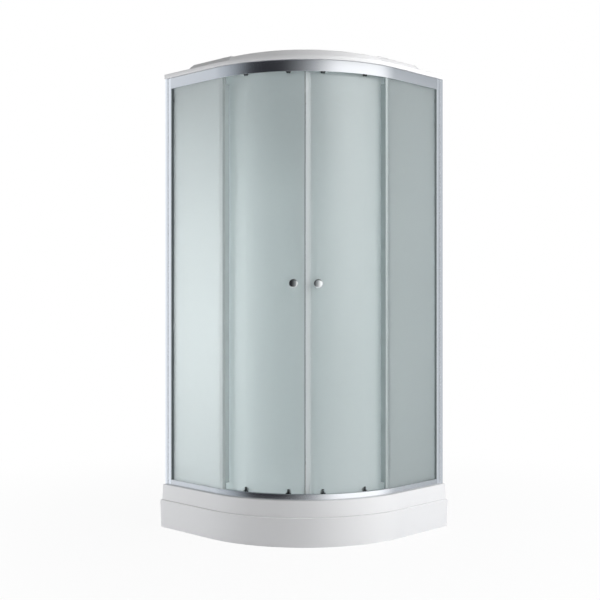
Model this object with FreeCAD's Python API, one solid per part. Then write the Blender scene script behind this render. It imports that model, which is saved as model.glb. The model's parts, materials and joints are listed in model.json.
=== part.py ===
import FreeCAD, Part
import math
import os

# Quadrant shower enclosure with a low tray, two curved sliding doors and a moulded roof. Millimetres.
# The origin is the bottom centre of the square that the tray stands in, +Z up.
# The walls are the planes x = -TRAY_SIDE/2 (left wall) and y = +TRAY_SIDE/2 (back wall).
# "side" is a distance from a wall, "inset" a depth behind the rails' outer face, and an angle is
# measured round the arc centre from the diagonal, positive to the right as seen from the room.

V = FreeCAD.Vector
UP = V(0, 0, 1)
TO_BACK = V(0, 1, 0)
DIAGONAL_MIRROR = V(1, 1, 0)

# Overall
TRAY_SIDE = 900.0
RAIL_SETBACK = 28.0
RAIL_RADIUS = 538.0
FRAME_HEIGHT = 1798.0

# Tray
BOWL_DEPTH = 114.0
RIM_LAND = 12.0
SKIRT_FLARE = 5.0
TRAY_WALL = 4.0
RIM_ROUND = 3.0
BOWL_INSET = 60.0
BOWL_WALL_INSET = 64.0
BOWL_DRAFT = 22.0
BOWL_CORNER = 45.0
FLOOR_WALL = 5.0

# Apron
APRON_HEIGHT = 121.0
APRON_LEAN = 6.0
APRON_WALL = 4.0
APRON_FLANGE = 3.0
APRON_ROUND = 6.0
APRON_RETURN = 24.0
BLOCK_ANGLES = (-40.0, -20.0, 0.0, 20.0, 40.0)
BLOCK_DEPTH = 12.0
BLOCK_SPREAD = 5.0
BLOCK_HEIGHT = 30.0

# Bars and feet under the tray
LEG_SPACE = 48.0
BAR = 20.0
BAR_WALL = 2.0
BAR_COUNT = 3
BAR_STEP = 290.0
BAR_END_MARGIN = 10.0
FOOT_INSET = 50.0
STUD_RADIUS = 6.0
STUD_START = 7.0
STUD_INSIDE_BAR = 12.0
THREAD_FIT = 0.05
FOOT_NUT_RADIUS = 11.0
FOOT_NUT_HEIGHT = 9.0
PAD_RADIUS = 22.0
PAD_PLATE = 5.0
PAD_CONE = 3.0
PAD_HEIGHT = 18.0
PAD_NECK = 12.0

# Waste
DRAIN_SIDE = 270.0
DRAIN_RADIUS = 44.5
DRAIN_WALL = 4.5
DRAIN_SUMP = 4.0
DRAIN_FLANGE_WIDTH = 5.5
DRAIN_FLANGE_HEIGHT = 1.5
DRAIN_NUT_WIDTH = 11.5
DRAIN_NUT_HEIGHT = 8.0
DRAIN_SEAL_HEIGHT = 2.0
DRAIN_SEAL_MARGIN = 2.0
DRAIN_COVER_OVERHANG = 4.0
DRAIN_COVER_HEIGHT = 3.0
DRAIN_COVER_EDGE = 1.0
DRAIN_COVER_FLAT = 27.0
DRAIN_COVER_SOCKET = 8.0
OUTLET_RADIUS = 20.0
OUTLET_WALL = 2.5
OUTLET_GAP = 4.0
OUTLET_END = 25.0
OUTLET_SPIGOT = 40.0
OUTLET_COLLAR = 4.0

# Rails
UPPER_RAIL_HEIGHT = 51.0
LOWER_LIP_DROP = 1.0
RAIL_WALL = 2.0
SLOT_GAP = 1.0
SLOT_WALL = 1.5
RAIL_DEPTH = 36.0
LIP_THICK = 2.0
LIP_RIM = 1.5
LIP_END_ANGLE = 63.0
STOP_MARGIN = 1.0
STOP_SPREAD = 0.8
BOSS_WALL = 1.65
BOSS_END = 4.0

# Posts at the walls
POST_WIDTH = 40.0
WALL_PROFILE_WIDTH = 18.0
POST_DEPTH = 36.0
PROFILE_WALL = 1.6
STILE_START = 6.0
STILE_CLEARANCE = 0.2
POCKET_DEPTH = 14.0
BEAD_WIDTH = 9.0
BEAD_LIP = 1.2
BEAD_FACE_INSET = 2.2

# Glass
GLASS = 5.0
GLASS_CLEARANCE = 0.3
FIXED_GLASS_INSET = 8.0
FIXED_GLASS_ANGLE = 39.1
FIXED_GLASS_DROP = 10.0
GASKET_HEIGHT = 10.0
GASKET_RISE = 4.0
DOOR_GLASS_LIFT = 9.0
DOOR_GLASS_DROP = 13.0
DOOR_OVERLAP = 4.1
DOOR_GAP_ANGLE = 0.1

# Seals
SEAL_WALL = 1.2
LEFT_MEETING_SEAL = 8.0
RIGHT_MEETING_SEAL = 18.0
EDGE_SEAL = 14.0
FIN_THICK = 1.2
FIN_MARGIN = 26.0
FIN_TIP_GAP = 0.2
MOVING_GAP = 0.5

# Rollers
ROLLER_ANGLES = {"lead": 8.0, "trail": 29.0}
WHEEL_SIDE_GAP = 2.5
WHEEL_WIDTH = 6.0
WHEEL_RIM_GAP = 0.5
UPPER_WHEEL_RADIUS = 10.0
UPPER_WHEEL_HEADROOM = 3.7
LOWER_WHEEL_RADIUS = 8.0
LOWER_WHEEL_FOOTROOM = 0.7
WHEEL_GAP = 0.3
WHEEL_CHAMFER = 0.8
AXLE_RADIUS = 2.5
AXLE_FIT = 0.05
AXLE_HEAD = 4.0
AXLE_HEAD_THICK = 1.2
PLATE_THICK = 3.0
BRACKET_WIDTH = 20.0
BRACKET_DROP = 8.0
BRACKET_TOP_MARGIN = 5.0
BRACKET_ROUND = 4.0
BRACKET_BOLT_RISE = 14.0
BRACKET_BOLT_RADIUS = 3.0
BOLT_FIT = 0.1
GLASS_HOLE_FIT = 0.5
CLAMP_RADIUS = 11.0
CLAMP_THICK = 4.0
CLAMP_CHAMFER = 1.5
HOOK_WIDTH = 22.0
HOOK_FLOOR_GAP = 1.0
HOOK_BASE_HEIGHT = 18.5
HOOK_POST_WIDTH = 8.0
HOOK_END_WALL = 3.2
HOOK_BOLT_RISE = 4.5
HOOK_BOLT_RADIUS = 2.0
HOOK_BOLT_HEAD = 3.4
HOOK_BOLT_HEAD_THICK = 2.0
HOOK_CLAMP_RADIUS = 9.0
HOOK_TRAVEL = 4.0
SLIDE_GAP = 0.3

# Knobs
KNOB_ANGLE = 5.5
KNOB_RISE = 874.0
KNOB_RADIUS = 18.0
KNOB_LENGTH = 28.0
KNOB_HEAD = 9.0
KNOB_CONE = 4.0
KNOB_ROUND = 3.0
KNOB_NECK = 6.5
KNOB_NECK_TAPER = 2.0
KNOB_BASE = 9.5
KNOB_BASE_THICK = 3.0
KNOB_STUD = 4.0
KNOB_STUD_REACH = 14.0

# Rear panels
PANEL_INSET = 8.0
PANEL = 4.0
REAR_POST = 26.0
REAR_POST_WALL = 2.0
CHANNEL_DEPTH = 14.0
CHANNEL_WALL = 1.5
PANEL_FIT = 0.4

# Roof
ROOF_OVERHANG = 5.0
ROOF_LIP_DROP = 3.0
ROOF_DECK = 16.0
ROOF_WALL = 4.0
ROOF_SEAT_WIDTH = 34.0
CROWN_ANGLE = 36.5
CROWN_RISE = 20.0
CROWN_SPARE = 6.0
CROWN_ARCH_RADIUS = 9000.0
CROWN_LEAN = 9.0
CROWN_WIDTH = 80.0
HUMP_RISE = 26.0
HUMP_START = 128.0
HUMP_SLOPE = 42.0
HUMP_INSET = 22.0
HUMP_WIDTH = 95.0
HUMP_DRAFT = 14.0
HUMP_GROOVE = 6.0
DOME_INSET = 150.0
DOME_RISE = 15.0
DOME_DRAFT = 40.0

# Small screws, all alike
SCREW_RADIUS = 1.75
SCREW_LENGTH = 12.0
SCREW_POINT = 2.0
SCREW_HEAD = 3.4
SCREW_HEAD_HEIGHT = 2.0
SCREW_FIT = 0.1
BEAD_SCREW_MARGIN = 55.0
BEAD_SCREW_COUNT = 4
PANEL_SCREW_MARGIN = 150.0
PANEL_SCREW_COUNT = 3
ROOF_SCREW_ANGLES = (-30.0, 0.0, 30.0)

# Holes for fixing the wall profiles to the wall
WALL_HOLE_RADIUS = 3.0
WALL_HOLE_MARGIN = 119.0
WALL_HOLE_COUNT = 3

# For picking edges, and for cuts that run past a face
TOLERANCE = 0.1
CUT_PAST = 1.0

# Worked out: distances from the walls
HALF = TRAY_SIDE / 2
FAR = 2 * TRAY_SIDE
RAIL_SIDE = TRAY_SIDE - RAIL_SETBACK
RIM_SIDE = RAIL_SIDE + RIM_LAND
SKIRT_SIDE = RIM_SIDE + SKIRT_FLARE
APRON_FOOT_SIDE = TRAY_SIDE - APRON_LEAN
BOWL_SIDE = RAIL_SIDE - BOWL_INSET
FLOOR_SIDE = BOWL_SIDE - BOWL_DRAFT
FLOOR_WALL_INSET = BOWL_WALL_INSET + BOWL_DRAFT
FLAT = RAIL_SIDE - RAIL_RADIUS
CENTRE = V(FLAT - HALF, HALF - FLAT, 0)

# Worked out: depths behind the rails' face
SLOT_INSET = FIXED_GLASS_INSET + GLASS + SLOT_GAP
WHEEL_INSET = SLOT_INSET + SLOT_WALL + WHEEL_SIDE_GAP
LIP_INSET = WHEEL_INSET + WHEEL_WIDTH + WHEEL_RIM_GAP + LIP_RIM
PLATE_INSET = LIP_INSET + MOVING_GAP
DOOR_GLASS_INSET = PLATE_INSET + PLATE_THICK + MOVING_GAP
BEAD_SCREW_INSET = FIXED_GLASS_INSET - GLASS_CLEARANCE - SCREW_HEAD
RAIL_SCREW_INSET = FIXED_GLASS_INSET + GLASS + PROFILE_WALL + 2 * GLASS_CLEARANCE + SCREW_HEAD

# Worked out: radii and angles round the arc centre
WHEEL_OUTER = RAIL_RADIUS - WHEEL_INSET
WHEEL_INNER = WHEEL_OUTER - WHEEL_WIDTH
PLATE_OUTER = RAIL_RADIUS - PLATE_INSET
PLATE_INNER = PLATE_OUTER - PLATE_THICK
DOOR_OUTER = RAIL_RADIUS - DOOR_GLASS_INSET
DOOR_INNER = DOOR_OUTER - GLASS
DOOR_ANGLE = FIXED_GLASS_ANGLE + DOOR_OVERLAP
STOP_ANGLE = LIP_END_ANGLE - STOP_MARGIN
FIXED_EDGE = FLAT + (RAIL_RADIUS - FIXED_GLASS_INSET) * math.sin(math.radians(45 - FIXED_GLASS_ANGLE))

# Worked out: heights of the tray and the waste
FLOOR_BOTTOM = LEG_SPACE + BAR
FLOOR_TOP = FLOOR_BOTTOM + FLOOR_WALL
RIM_TOP = FLOOR_TOP + BOWL_DEPTH
DRAIN_NUT_TOP = FLOOR_BOTTOM - DRAIN_SEAL_HEIGHT
OUTLET_HEIGHT = DRAIN_NUT_TOP - DRAIN_NUT_HEIGHT - OUTLET_GAP - OUTLET_RADIUS
DRAIN_BOTTOM = OUTLET_HEIGHT - OUTLET_RADIUS - DRAIN_SUMP
DRAIN_FLANGE = DRAIN_RADIUS + DRAIN_FLANGE_WIDTH
DRAIN_NUT_RADIUS = DRAIN_RADIUS + DRAIN_NUT_WIDTH

# Worked out: heights of the frame
HOOK_BOTTOM = RIM_TOP + RAIL_WALL + HOOK_TRAVEL + HOOK_FLOOR_GAP
HOOK_BOLT_HEIGHT = HOOK_BOTTOM + HOOK_BASE_HEIGHT + HOOK_BOLT_RISE
LOWER_AXLE_HEIGHT = RIM_TOP + LOWER_WHEEL_FOOTROOM + HOOK_TRAVEL + LOWER_WHEEL_RADIUS
LOWER_LIP_TOP = LOWER_AXLE_HEIGHT + LOWER_WHEEL_RADIUS + WHEEL_GAP + LIP_THICK
LOWER_RAIL_TOP = LOWER_LIP_TOP + LOWER_LIP_DROP
UPPER_RAIL_TOP = RIM_TOP + FRAME_HEIGHT
UPPER_RAIL_BOTTOM = UPPER_RAIL_TOP - UPPER_RAIL_HEIGHT
UPPER_AXLE_HEIGHT = UPPER_RAIL_TOP - RAIL_WALL - UPPER_WHEEL_HEADROOM - UPPER_WHEEL_RADIUS
UPPER_LIP_TOP = UPPER_AXLE_HEIGHT - UPPER_WHEEL_RADIUS - WHEEL_GAP
FIXED_GLASS_TOP = UPPER_RAIL_TOP - FIXED_GLASS_DROP
DOOR_GLASS_BOTTOM = RIM_TOP + DOOR_GLASS_LIFT
DOOR_GLASS_TOP = UPPER_RAIL_TOP - DOOR_GLASS_DROP
BRACKET_BOTTOM = UPPER_RAIL_BOTTOM - BRACKET_DROP
BRACKET_BOLT_HEIGHT = BRACKET_BOTTOM + BRACKET_BOLT_RISE
KNOB_HEIGHT = DOOR_GLASS_BOTTOM + KNOB_RISE
LOWER_SCREW_HEIGHT = (RIM_TOP + RAIL_WALL + LOWER_LIP_TOP - LIP_THICK) / 2
UPPER_SCREW_HEIGHT = (UPPER_LIP_TOP + UPPER_RAIL_TOP) / 2

# Worked out: heights of the roof
ROOF_LIP_BOTTOM = UPPER_RAIL_TOP - ROOF_LIP_DROP
ROOF_LIP_TOP = UPPER_RAIL_TOP + ROOF_DECK
ROOF_CEILING = ROOF_LIP_TOP - ROOF_WALL
CROWN_TOP = ROOF_LIP_TOP + CROWN_RISE
HUMP_TOP = ROOF_LIP_TOP + HUMP_RISE
DOME_TOP = ROOF_LIP_TOP + DOME_RISE


# ---- geometry helpers ----

def at(p, q, z=0.0):
    """The point p from the left wall and q from the back wall."""
    return V(p - HALF, HALF - q, z)


def outward(angle):
    """Unit vector pointing out from the arc centre."""
    turn = math.radians(angle - 45.0)
    return V(math.cos(turn), math.sin(turn), 0)


def polar(angle, radius, z=0.0):
    """A point round the arc centre."""
    return CENTRE + outward(angle) * radius + UP * z


def line(start, end):
    return Part.LineSegment(start, end).toShape()


def arc(start, middle, end):
    return Part.Arc(start, middle, end).toShape()


def prism(wire, height):
    """The closed wire filled and raised by height."""
    return Part.Face(wire).extrude(UP * height)


def block(p0, q0, z0, p1, q1, z1):
    """A box between two corners given in wall distances."""
    return Part.makeBox(abs(p1 - p0), abs(q1 - q0), z1 - z0, at(min(p0, p1), max(q0, q1), z0))


def rod(base, direction, radius, length):
    return Part.makeCylinder(radius, length, base, direction)


def turned(profile, base, direction):
    """A solid of revolution from (along, radius) points, set at base along direction."""
    first = V(0, 0, profile[0][0])
    last = V(0, 0, profile[-1][0])
    points = [first] + [V(radius, 0, along) for along, radius in profile] + [last, first]
    solid = Part.Face(Part.makePolygon(points)).revolve(V(0, 0, 0), UP, 360)
    solid.Placement = FreeCAD.Placement(base, FreeCAD.Rotation(UP, direction))
    return solid


def loop(side, wall, z, corner=0.0):
    """Closed quadrant outline: two edges along the walls, two flats and the front arc."""
    bend = corner * (1 - math.cos(math.radians(45)))
    near = wall + corner
    edges = [line(at(near, wall, z), at(side - corner, wall, z))]
    if corner > 0:
        edges.append(arc(at(side - corner, wall, z), at(side - bend, wall + bend, z), at(side, near, z)))
    edges.append(line(at(side, near, z), at(side, FLAT, z)))
    edges.append(arc(at(side, FLAT, z), polar(0, side - FLAT, z), at(FLAT, side, z)))
    edges.append(line(at(FLAT, side, z), at(near, side, z)))
    if corner > 0:
        edges.append(arc(at(near, side, z), at(wall + bend, side - bend, z), at(wall, side - corner, z)))
    edges.append(line(at(wall, side - corner, z), at(wall, near, z)))
    if corner > 0:
        edges.append(arc(at(wall, near, z), at(wall + bend, wall + bend, z), at(near, wall, z)))
    return Part.Wire(edges)


def quadrant(side, wall, z0, z1, corner=0.0):
    """Upright quadrant block."""
    return prism(loop(side, wall, z0, corner), z1 - z0)


def tapered(low, high):
    """Quadrant block whose outline changes from low to high, each (side, wall, z, corner)."""
    return Part.makeLoft([loop(*low), loop(*high)], True, True)


def front_loop(outer, inner, z, start):
    """Closed strip outline along both flats and the arc, between two side distances."""
    edges = [
        line(at(outer, start, z), at(outer, FLAT, z)),
        arc(at(outer, FLAT, z), polar(0, outer - FLAT, z), at(FLAT, outer, z)),
        line(at(FLAT, outer, z), at(start, outer, z)),
        line(at(start, outer, z), at(start, inner, z)),
        line(at(start, inner, z), at(FLAT, inner, z)),
        arc(at(FLAT, inner, z), polar(0, inner - FLAT, z), at(inner, FLAT, z)),
        line(at(inner, FLAT, z), at(inner, start, z)),
        line(at(inner, start, z), at(outer, start, z)),
    ]
    return Part.Wire(edges)


def band(inset0, inset1, z0, z1, start=0.0):
    """Upright strip along the front between two insets behind the rails' face."""
    return prism(front_loop(RAIL_SIDE - inset0, RAIL_SIDE - inset1, z0, start), z1 - z0)


def sector(inner, outer, angle0, angle1, z0, z1):
    """Part of a ring round the arc centre."""
    middle = (angle0 + angle1) / 2
    edges = [
        arc(polar(angle0, outer, z0), polar(middle, outer, z0), polar(angle1, outer, z0)),
        line(polar(angle1, outer, z0), polar(angle1, inner, z0)),
        arc(polar(angle1, inner, z0), polar(middle, inner, z0), polar(angle0, inner, z0)),
        line(polar(angle0, inner, z0), polar(angle0, outer, z0)),
    ]
    return prism(Part.Wire(edges), z1 - z0)


def wedge(angle0, angle1, z0, z1):
    """Everything between two directions from the arc centre."""
    middle = (angle0 + angle1) / 2
    tip = CENTRE + UP * z0
    fan = [polar(angle, FAR, z0) for angle in (angle0, middle, angle1)]
    return prism(Part.makePolygon([tip] + fan + [tip]), z1 - z0)


def standing_plate(angle, inner, outer, width, z0, z1):
    """Flat plate across the radius at an angle, from inner to outer radius."""
    solid = Part.makeBox(outer - inner, width, z1 - z0, V(inner, -width / 2, z0))
    solid.Placement = FreeCAD.Placement(CENTRE, FreeCAD.Rotation(UP, angle - 45.0))
    return solid


def mirrored(shape):
    """The same shape on the other side of the diagonal."""
    return shape.mirror(V(0, 0, 0), DIAGONAL_MIRROR)


def fused(shapes):
    return shapes[0].fuse(shapes[1:]).removeSplitter()


def group(shapes):
    return Part.makeCompound(shapes)


def degrees(length, radius):
    """The angle that a length takes up round a circle."""
    return math.degrees(length / radius)


def spread(bottom, top, margin, count):
    """Heights spaced evenly between two margins."""
    step = (top - bottom - 2 * margin) / (count - 1)
    return [bottom + margin + number * step for number in range(count)]


# ---- tray ----

def tray_shell():
    foot = (SKIRT_SIDE, 0.0, APRON_HEIGHT, 0.0)
    rim = (RIM_SIDE, 0.0, RIM_TOP, 0.0)
    body = tapered(foot, rim)
    edges = [edge for edge in body.Edges if edge.BoundBox.ZMin > RIM_TOP - TOLERANCE and is_front(edge)]
    body = body.makeFillet(RIM_ROUND, edges)
    inner_foot = (SKIRT_SIDE - TRAY_WALL, TRAY_WALL, APRON_HEIGHT, 0.0)
    inner_rim = (RIM_SIDE - TRAY_WALL, TRAY_WALL, RIM_TOP - TRAY_WALL, 0.0)
    hollow = tapered(inner_foot, inner_rim)
    bowl_outside = tapered(
        (FLOOR_SIDE + TRAY_WALL, FLOOR_WALL_INSET - TRAY_WALL, FLOOR_BOTTOM, BOWL_CORNER),
        (BOWL_SIDE + TRAY_WALL, BOWL_WALL_INSET - TRAY_WALL, RIM_TOP, BOWL_CORNER))
    bowl_inside = tapered(
        (FLOOR_SIDE, FLOOR_WALL_INSET, FLOOR_TOP, BOWL_CORNER),
        (BOWL_SIDE, BOWL_WALL_INSET, RIM_TOP, BOWL_CORNER))
    tray = body.cut(hollow).fuse(bowl_outside).cut(bowl_inside)
    waste_hole = rod(at(DRAIN_SIDE, DRAIN_SIDE, FLOOR_BOTTOM), UP, DRAIN_RADIUS + BOLT_FIT, FLOOR_WALL)
    return tray.cut(waste_hole)


def is_front(edge):
    """True for an edge along the front flats or the arc, away from the walls."""
    middle = edge.valueAt((edge.FirstParameter + edge.LastParameter) / 2)
    return middle.x > TOLERANCE - HALF and middle.y < HALF - TOLERANCE


def tray_apron():
    """Leaning front panel whose rounded top edge is the tray's widest line."""
    top_side = APRON_FOOT_SIDE + APRON_LEAN / (APRON_HEIGHT - APRON_ROUND) * APRON_HEIGHT
    wall = Part.makeLoft([
        front_loop(APRON_FOOT_SIDE, APRON_FOOT_SIDE - APRON_WALL, 0, 0),
        front_loop(top_side, top_side - APRON_WALL, APRON_HEIGHT, 0)], True, True)
    flange_inner = SKIRT_SIDE - TRAY_WALL - BLOCK_DEPTH
    flange_outer = top_side - APRON_WALL / 2
    flange = prism(front_loop(flange_outer, flange_inner, APRON_HEIGHT - APRON_FLANGE, 0), APRON_FLANGE)
    foot_outer = APRON_FOOT_SIDE - APRON_WALL / 2
    foot = prism(front_loop(foot_outer, APRON_FOOT_SIDE - APRON_RETURN, 0, 0), APRON_FLANGE)
    apron = fused([wall, flange, foot])
    edges = [edge for edge in apron.Edges if is_top_outer(edge, top_side)]
    return apron.makeFillet(APRON_ROUND, edges)


def is_top_outer(edge, side):
    """True for the apron's top outer edge, at a side distance."""
    box = edge.BoundBox
    middle = edge.valueAt((edge.FirstParameter + edge.LastParameter) / 2)
    on_flat = abs(max(middle.x + HALF, HALF - middle.y) - side) < TOLERANCE
    on_arc = abs((middle - CENTRE - UP * middle.z).Length - (side - FLAT)) < TOLERANCE
    level = box.ZMin > APRON_HEIGHT - TOLERANCE and box.ZLength < TOLERANCE
    return level and edge.Length > FLAT / 2 and (on_flat or on_arc)


def apron_blocks():
    """Blocks that stand on the apron's flange, behind the tray's skirt."""
    lean = SKIRT_FLARE / (RIM_TOP - APRON_HEIGHT) * BLOCK_HEIGHT
    outer = SKIRT_SIDE - TRAY_WALL - lean - GLASS_CLEARANCE - FLAT
    half = BLOCK_SPREAD / 2
    top = APRON_HEIGHT + BLOCK_HEIGHT
    return group([sector(outer - BLOCK_DEPTH, outer, angle - half, angle + half, APRON_HEIGHT, top)
                  for angle in BLOCK_ANGLES])


def floor_reach(row):
    """How far the tray's floor reaches from the left wall, at a distance from the back wall."""
    over = max(row - FLAT, 0.0)
    return FLAT + math.sqrt((FLOOR_SIDE - FLAT) ** 2 - over ** 2)


def bar_places():
    """Row, start and end of each bar, as wall distances."""
    start = FLOOR_WALL_INSET + BAR_END_MARGIN
    rows = [start + number * BAR_STEP for number in range(BAR_COUNT)]
    return [(row, start, floor_reach(row) - BAR_END_MARGIN) for row in rows]


def support_bars():
    bars = []
    half = BAR / 2
    inside = half - BAR_WALL
    for row, start, end in bar_places():
        tube = block(start, row - half, LEG_SPACE, end, row + half, FLOOR_BOTTOM)
        bore = block(start, row - inside, LEG_SPACE + BAR_WALL, end, row + inside, FLOOR_BOTTOM - BAR_WALL)
        tube = tube.cut(bore)
        for foot in (start + FOOT_INSET, end - FOOT_INSET):
            tube = tube.cut(rod(at(foot, row, LEG_SPACE), UP, STUD_RADIUS + THREAD_FIT, BAR_WALL))
        bars.append(tube)
    return group(bars)


def foot_places():
    """Wall distances of the feet, two to a bar."""
    places = []
    for row, start, end in bar_places():
        places += [(start + FOOT_INSET, row), (end - FOOT_INSET, row)]
    return places


def foot_studs():
    length = LEG_SPACE + STUD_INSIDE_BAR - STUD_START
    return group([rod(at(p, q, STUD_START), UP, STUD_RADIUS, length) for p, q in foot_places()])


def foot_nuts():
    """Lock nuts tight under the bars."""
    nuts = []
    for p, q in foot_places():
        corners = [at(p, q) + outward(60.0 * step) * FOOT_NUT_RADIUS for step in range(7)]
        nut = prism(Part.makePolygon(corners), FOOT_NUT_HEIGHT)
        nut.translate(UP * (LEG_SPACE - FOOT_NUT_HEIGHT))
        nuts.append(nut.cut(rod(at(p, q), UP, STUD_RADIUS + THREAD_FIT, LEG_SPACE)))
    return group(nuts)


def foot_pads():
    pads = []
    for p, q in foot_places():
        cone_top = PAD_PLATE + PAD_CONE
        profile = [(0, PAD_RADIUS), (PAD_PLATE, PAD_RADIUS), (cone_top, PAD_NECK), (PAD_HEIGHT, PAD_NECK)]
        pad = turned(profile, at(p, q), UP)
        pads.append(pad.cut(rod(at(p, q, STUD_START), UP, STUD_RADIUS + THREAD_FIT, PAD_HEIGHT)))
    return group(pads)


def drain_body():
    middle = at(DRAIN_SIDE, DRAIN_SIDE)
    top = FLOOR_TOP + DRAIN_FLANGE_HEIGHT
    outside = [
        (DRAIN_BOTTOM, DRAIN_RADIUS), (FLOOR_TOP, DRAIN_RADIUS),
        (FLOOR_TOP, DRAIN_FLANGE), (top, DRAIN_FLANGE)]
    cup = turned(outside, middle, UP)
    pipe_start = at(OUTLET_END, DRAIN_SIDE, OUTLET_HEIGHT)
    length = DRAIN_SIDE - OUTLET_END
    pipe = rod(pipe_start, V(1, 0, 0), OUTLET_RADIUS, length)
    collar_start = at(OUTLET_END + OUTLET_SPIGOT, DRAIN_SIDE, OUTLET_HEIGHT)
    collar = rod(collar_start, V(1, 0, 0), OUTLET_RADIUS + OUTLET_COLLAR, OUTLET_COLLAR)
    inside = rod(middle + UP * (DRAIN_BOTTOM + DRAIN_WALL), UP, DRAIN_RADIUS - DRAIN_WALL, top)
    bore = rod(pipe_start, V(1, 0, 0), OUTLET_RADIUS - OUTLET_WALL, length)
    return cup.fuse([pipe, collar]).cut(inside).cut(bore)


def drain_ring(outer, bottom, top):
    """Washer round the waste, under the tray floor."""
    base = at(DRAIN_SIDE, DRAIN_SIDE, bottom)
    hole = rod(base, UP, DRAIN_RADIUS + THREAD_FIT, top - bottom)
    return rod(base, UP, outer, top - bottom).cut(hole)


def drain_seal():
    return drain_ring(DRAIN_NUT_RADIUS - DRAIN_SEAL_MARGIN, DRAIN_NUT_TOP, FLOOR_BOTTOM)


def drain_nut():
    return drain_ring(DRAIN_NUT_RADIUS, DRAIN_NUT_TOP - DRAIN_NUT_HEIGHT, DRAIN_NUT_TOP)


def drain_cover():
    base = FLOOR_TOP + DRAIN_FLANGE_HEIGHT
    socket = DRAIN_RADIUS - DRAIN_WALL - MOVING_GAP
    rim = DRAIN_FLANGE + DRAIN_COVER_OVERHANG
    profile = [
        (base - DRAIN_COVER_SOCKET, socket), (base, socket), (base, rim),
        (base + DRAIN_COVER_EDGE, rim), (base + DRAIN_COVER_HEIGHT, DRAIN_COVER_FLAT)]
    return turned(profile, at(DRAIN_SIDE, DRAIN_SIDE), UP)


# ---- rails ----

def running_lip(z0, z1):
    """The lip that wheels run on: it follows the arc past the flats' ends, joined to the slot wall."""
    reach = quadrant(RAIL_SIDE - SLOT_INSET - SLOT_WALL / 2, 0, z0, z1)
    reach = reach.common(wedge(-LIP_END_ANGLE, LIP_END_ANGLE, z0, z1))
    return reach.cut(rod(CENTRE + UP * z0, UP, RAIL_RADIUS - LIP_INSET, z1 - z0))


def lip_rim(z0, z1):
    inner = RAIL_RADIUS - LIP_INSET
    return sector(inner, inner + LIP_RIM, -LIP_END_ANGLE, LIP_END_ANGLE, z0, z1)


def with_screw_holes(rail, height):
    """Screw bosses behind the slot wall at both ends, drilled for the end screws."""
    half = SCREW_RADIUS + BOSS_WALL
    end = POST_WIDTH + SCREW_LENGTH + BOSS_END
    boss = block(
        RAIL_SIDE - SLOT_INSET - SLOT_WALL / 2, POST_WIDTH, height - half,
        RAIL_SIDE - RAIL_SCREW_INSET - half, end, height + half)
    start = at(RAIL_SIDE - RAIL_SCREW_INSET, POST_WIDTH, height)
    hole = rod(start, TO_BACK * -1, SCREW_RADIUS + SCREW_FIT, SCREW_LENGTH)
    return rail.fuse([boss, mirrored(boss)]).cut(hole).cut(mirrored(hole))


def lower_rail():
    rail = fused([
        band(0, RAIL_WALL, RIM_TOP, LOWER_RAIL_TOP, POST_WIDTH),
        band(0, SLOT_INSET + SLOT_WALL, RIM_TOP, RIM_TOP + RAIL_WALL, POST_WIDTH),
        band(SLOT_INSET, SLOT_INSET + SLOT_WALL, RIM_TOP, LOWER_LIP_TOP, POST_WIDTH),
        running_lip(LOWER_LIP_TOP - LIP_THICK, LOWER_LIP_TOP),
        lip_rim(LOWER_LIP_TOP - LIP_THICK - LIP_RIM, LOWER_LIP_TOP)])
    return with_screw_holes(rail, LOWER_SCREW_HEIGHT)


def upper_rail():
    rail = fused([
        band(0, RAIL_WALL, UPPER_RAIL_BOTTOM, UPPER_RAIL_TOP, POST_WIDTH),
        band(0, RAIL_DEPTH, UPPER_RAIL_TOP - RAIL_WALL, UPPER_RAIL_TOP, POST_WIDTH),
        band(SLOT_INSET, SLOT_INSET + SLOT_WALL, UPPER_LIP_TOP - LIP_THICK, UPPER_RAIL_TOP, POST_WIDTH),
        running_lip(UPPER_LIP_TOP - LIP_THICK, UPPER_LIP_TOP),
        lip_rim(UPPER_LIP_TOP - LIP_THICK, UPPER_LIP_TOP + LIP_RIM)])
    holes = [screw_hole(seat, direction) for seat, direction in roof_screw_seats()]
    return with_screw_holes(rail.cut(holes), UPPER_SCREW_HEIGHT)


def track_stops():
    """Rubber blocks that stand on the upper lip beyond the last wheel."""
    inner = RAIL_RADIUS - LIP_INSET + LIP_RIM + GLASS_CLEARANCE
    first = STOP_ANGLE - STOP_SPREAD
    last = STOP_ANGLE + STOP_SPREAD
    stop = sector(inner, WHEEL_OUTER, first, last, UPPER_LIP_TOP, UPPER_AXLE_HEIGHT)
    return group([stop, mirrored(stop)])


# ---- posts and fixed panes, right side; the left side is the mirror image ----

def wall_profile():
    """U-shaped profile against the wall, with a channel for the rear panel's edge."""
    back = RAIL_SIDE - POST_DEPTH
    wall = PROFILE_WALL
    shape = block(RAIL_SIDE, 0, RIM_TOP, back, WALL_PROFILE_WIDTH, UPPER_RAIL_TOP)
    inside = block(RAIL_SIDE - wall, wall, RIM_TOP, back + wall, WALL_PROFILE_WIDTH, UPPER_RAIL_TOP)
    shape = shape.cut(inside)
    for edge in (PANEL_INSET - PANEL_FIT - CHANNEL_WALL, PANEL_INSET + PANEL + PANEL_FIT):
        fin = block(back + wall, edge, RIM_TOP, back - CHANNEL_DEPTH, edge + CHANNEL_WALL, UPPER_RAIL_TOP)
        shape = shape.fuse(fin)
    for height in spread(RIM_TOP, UPPER_RAIL_TOP, WALL_HOLE_MARGIN, WALL_HOLE_COUNT):
        middle = at(RAIL_SIDE - POST_DEPTH / 2, 0, height)
        shape = shape.cut(rod(middle, TO_BACK * -1, WALL_HOLE_RADIUS, wall))
    holes = [screw_hole(seat, direction) for seat, direction in panel_screw_seats()]
    return shape.removeSplitter().cut(holes)


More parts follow.
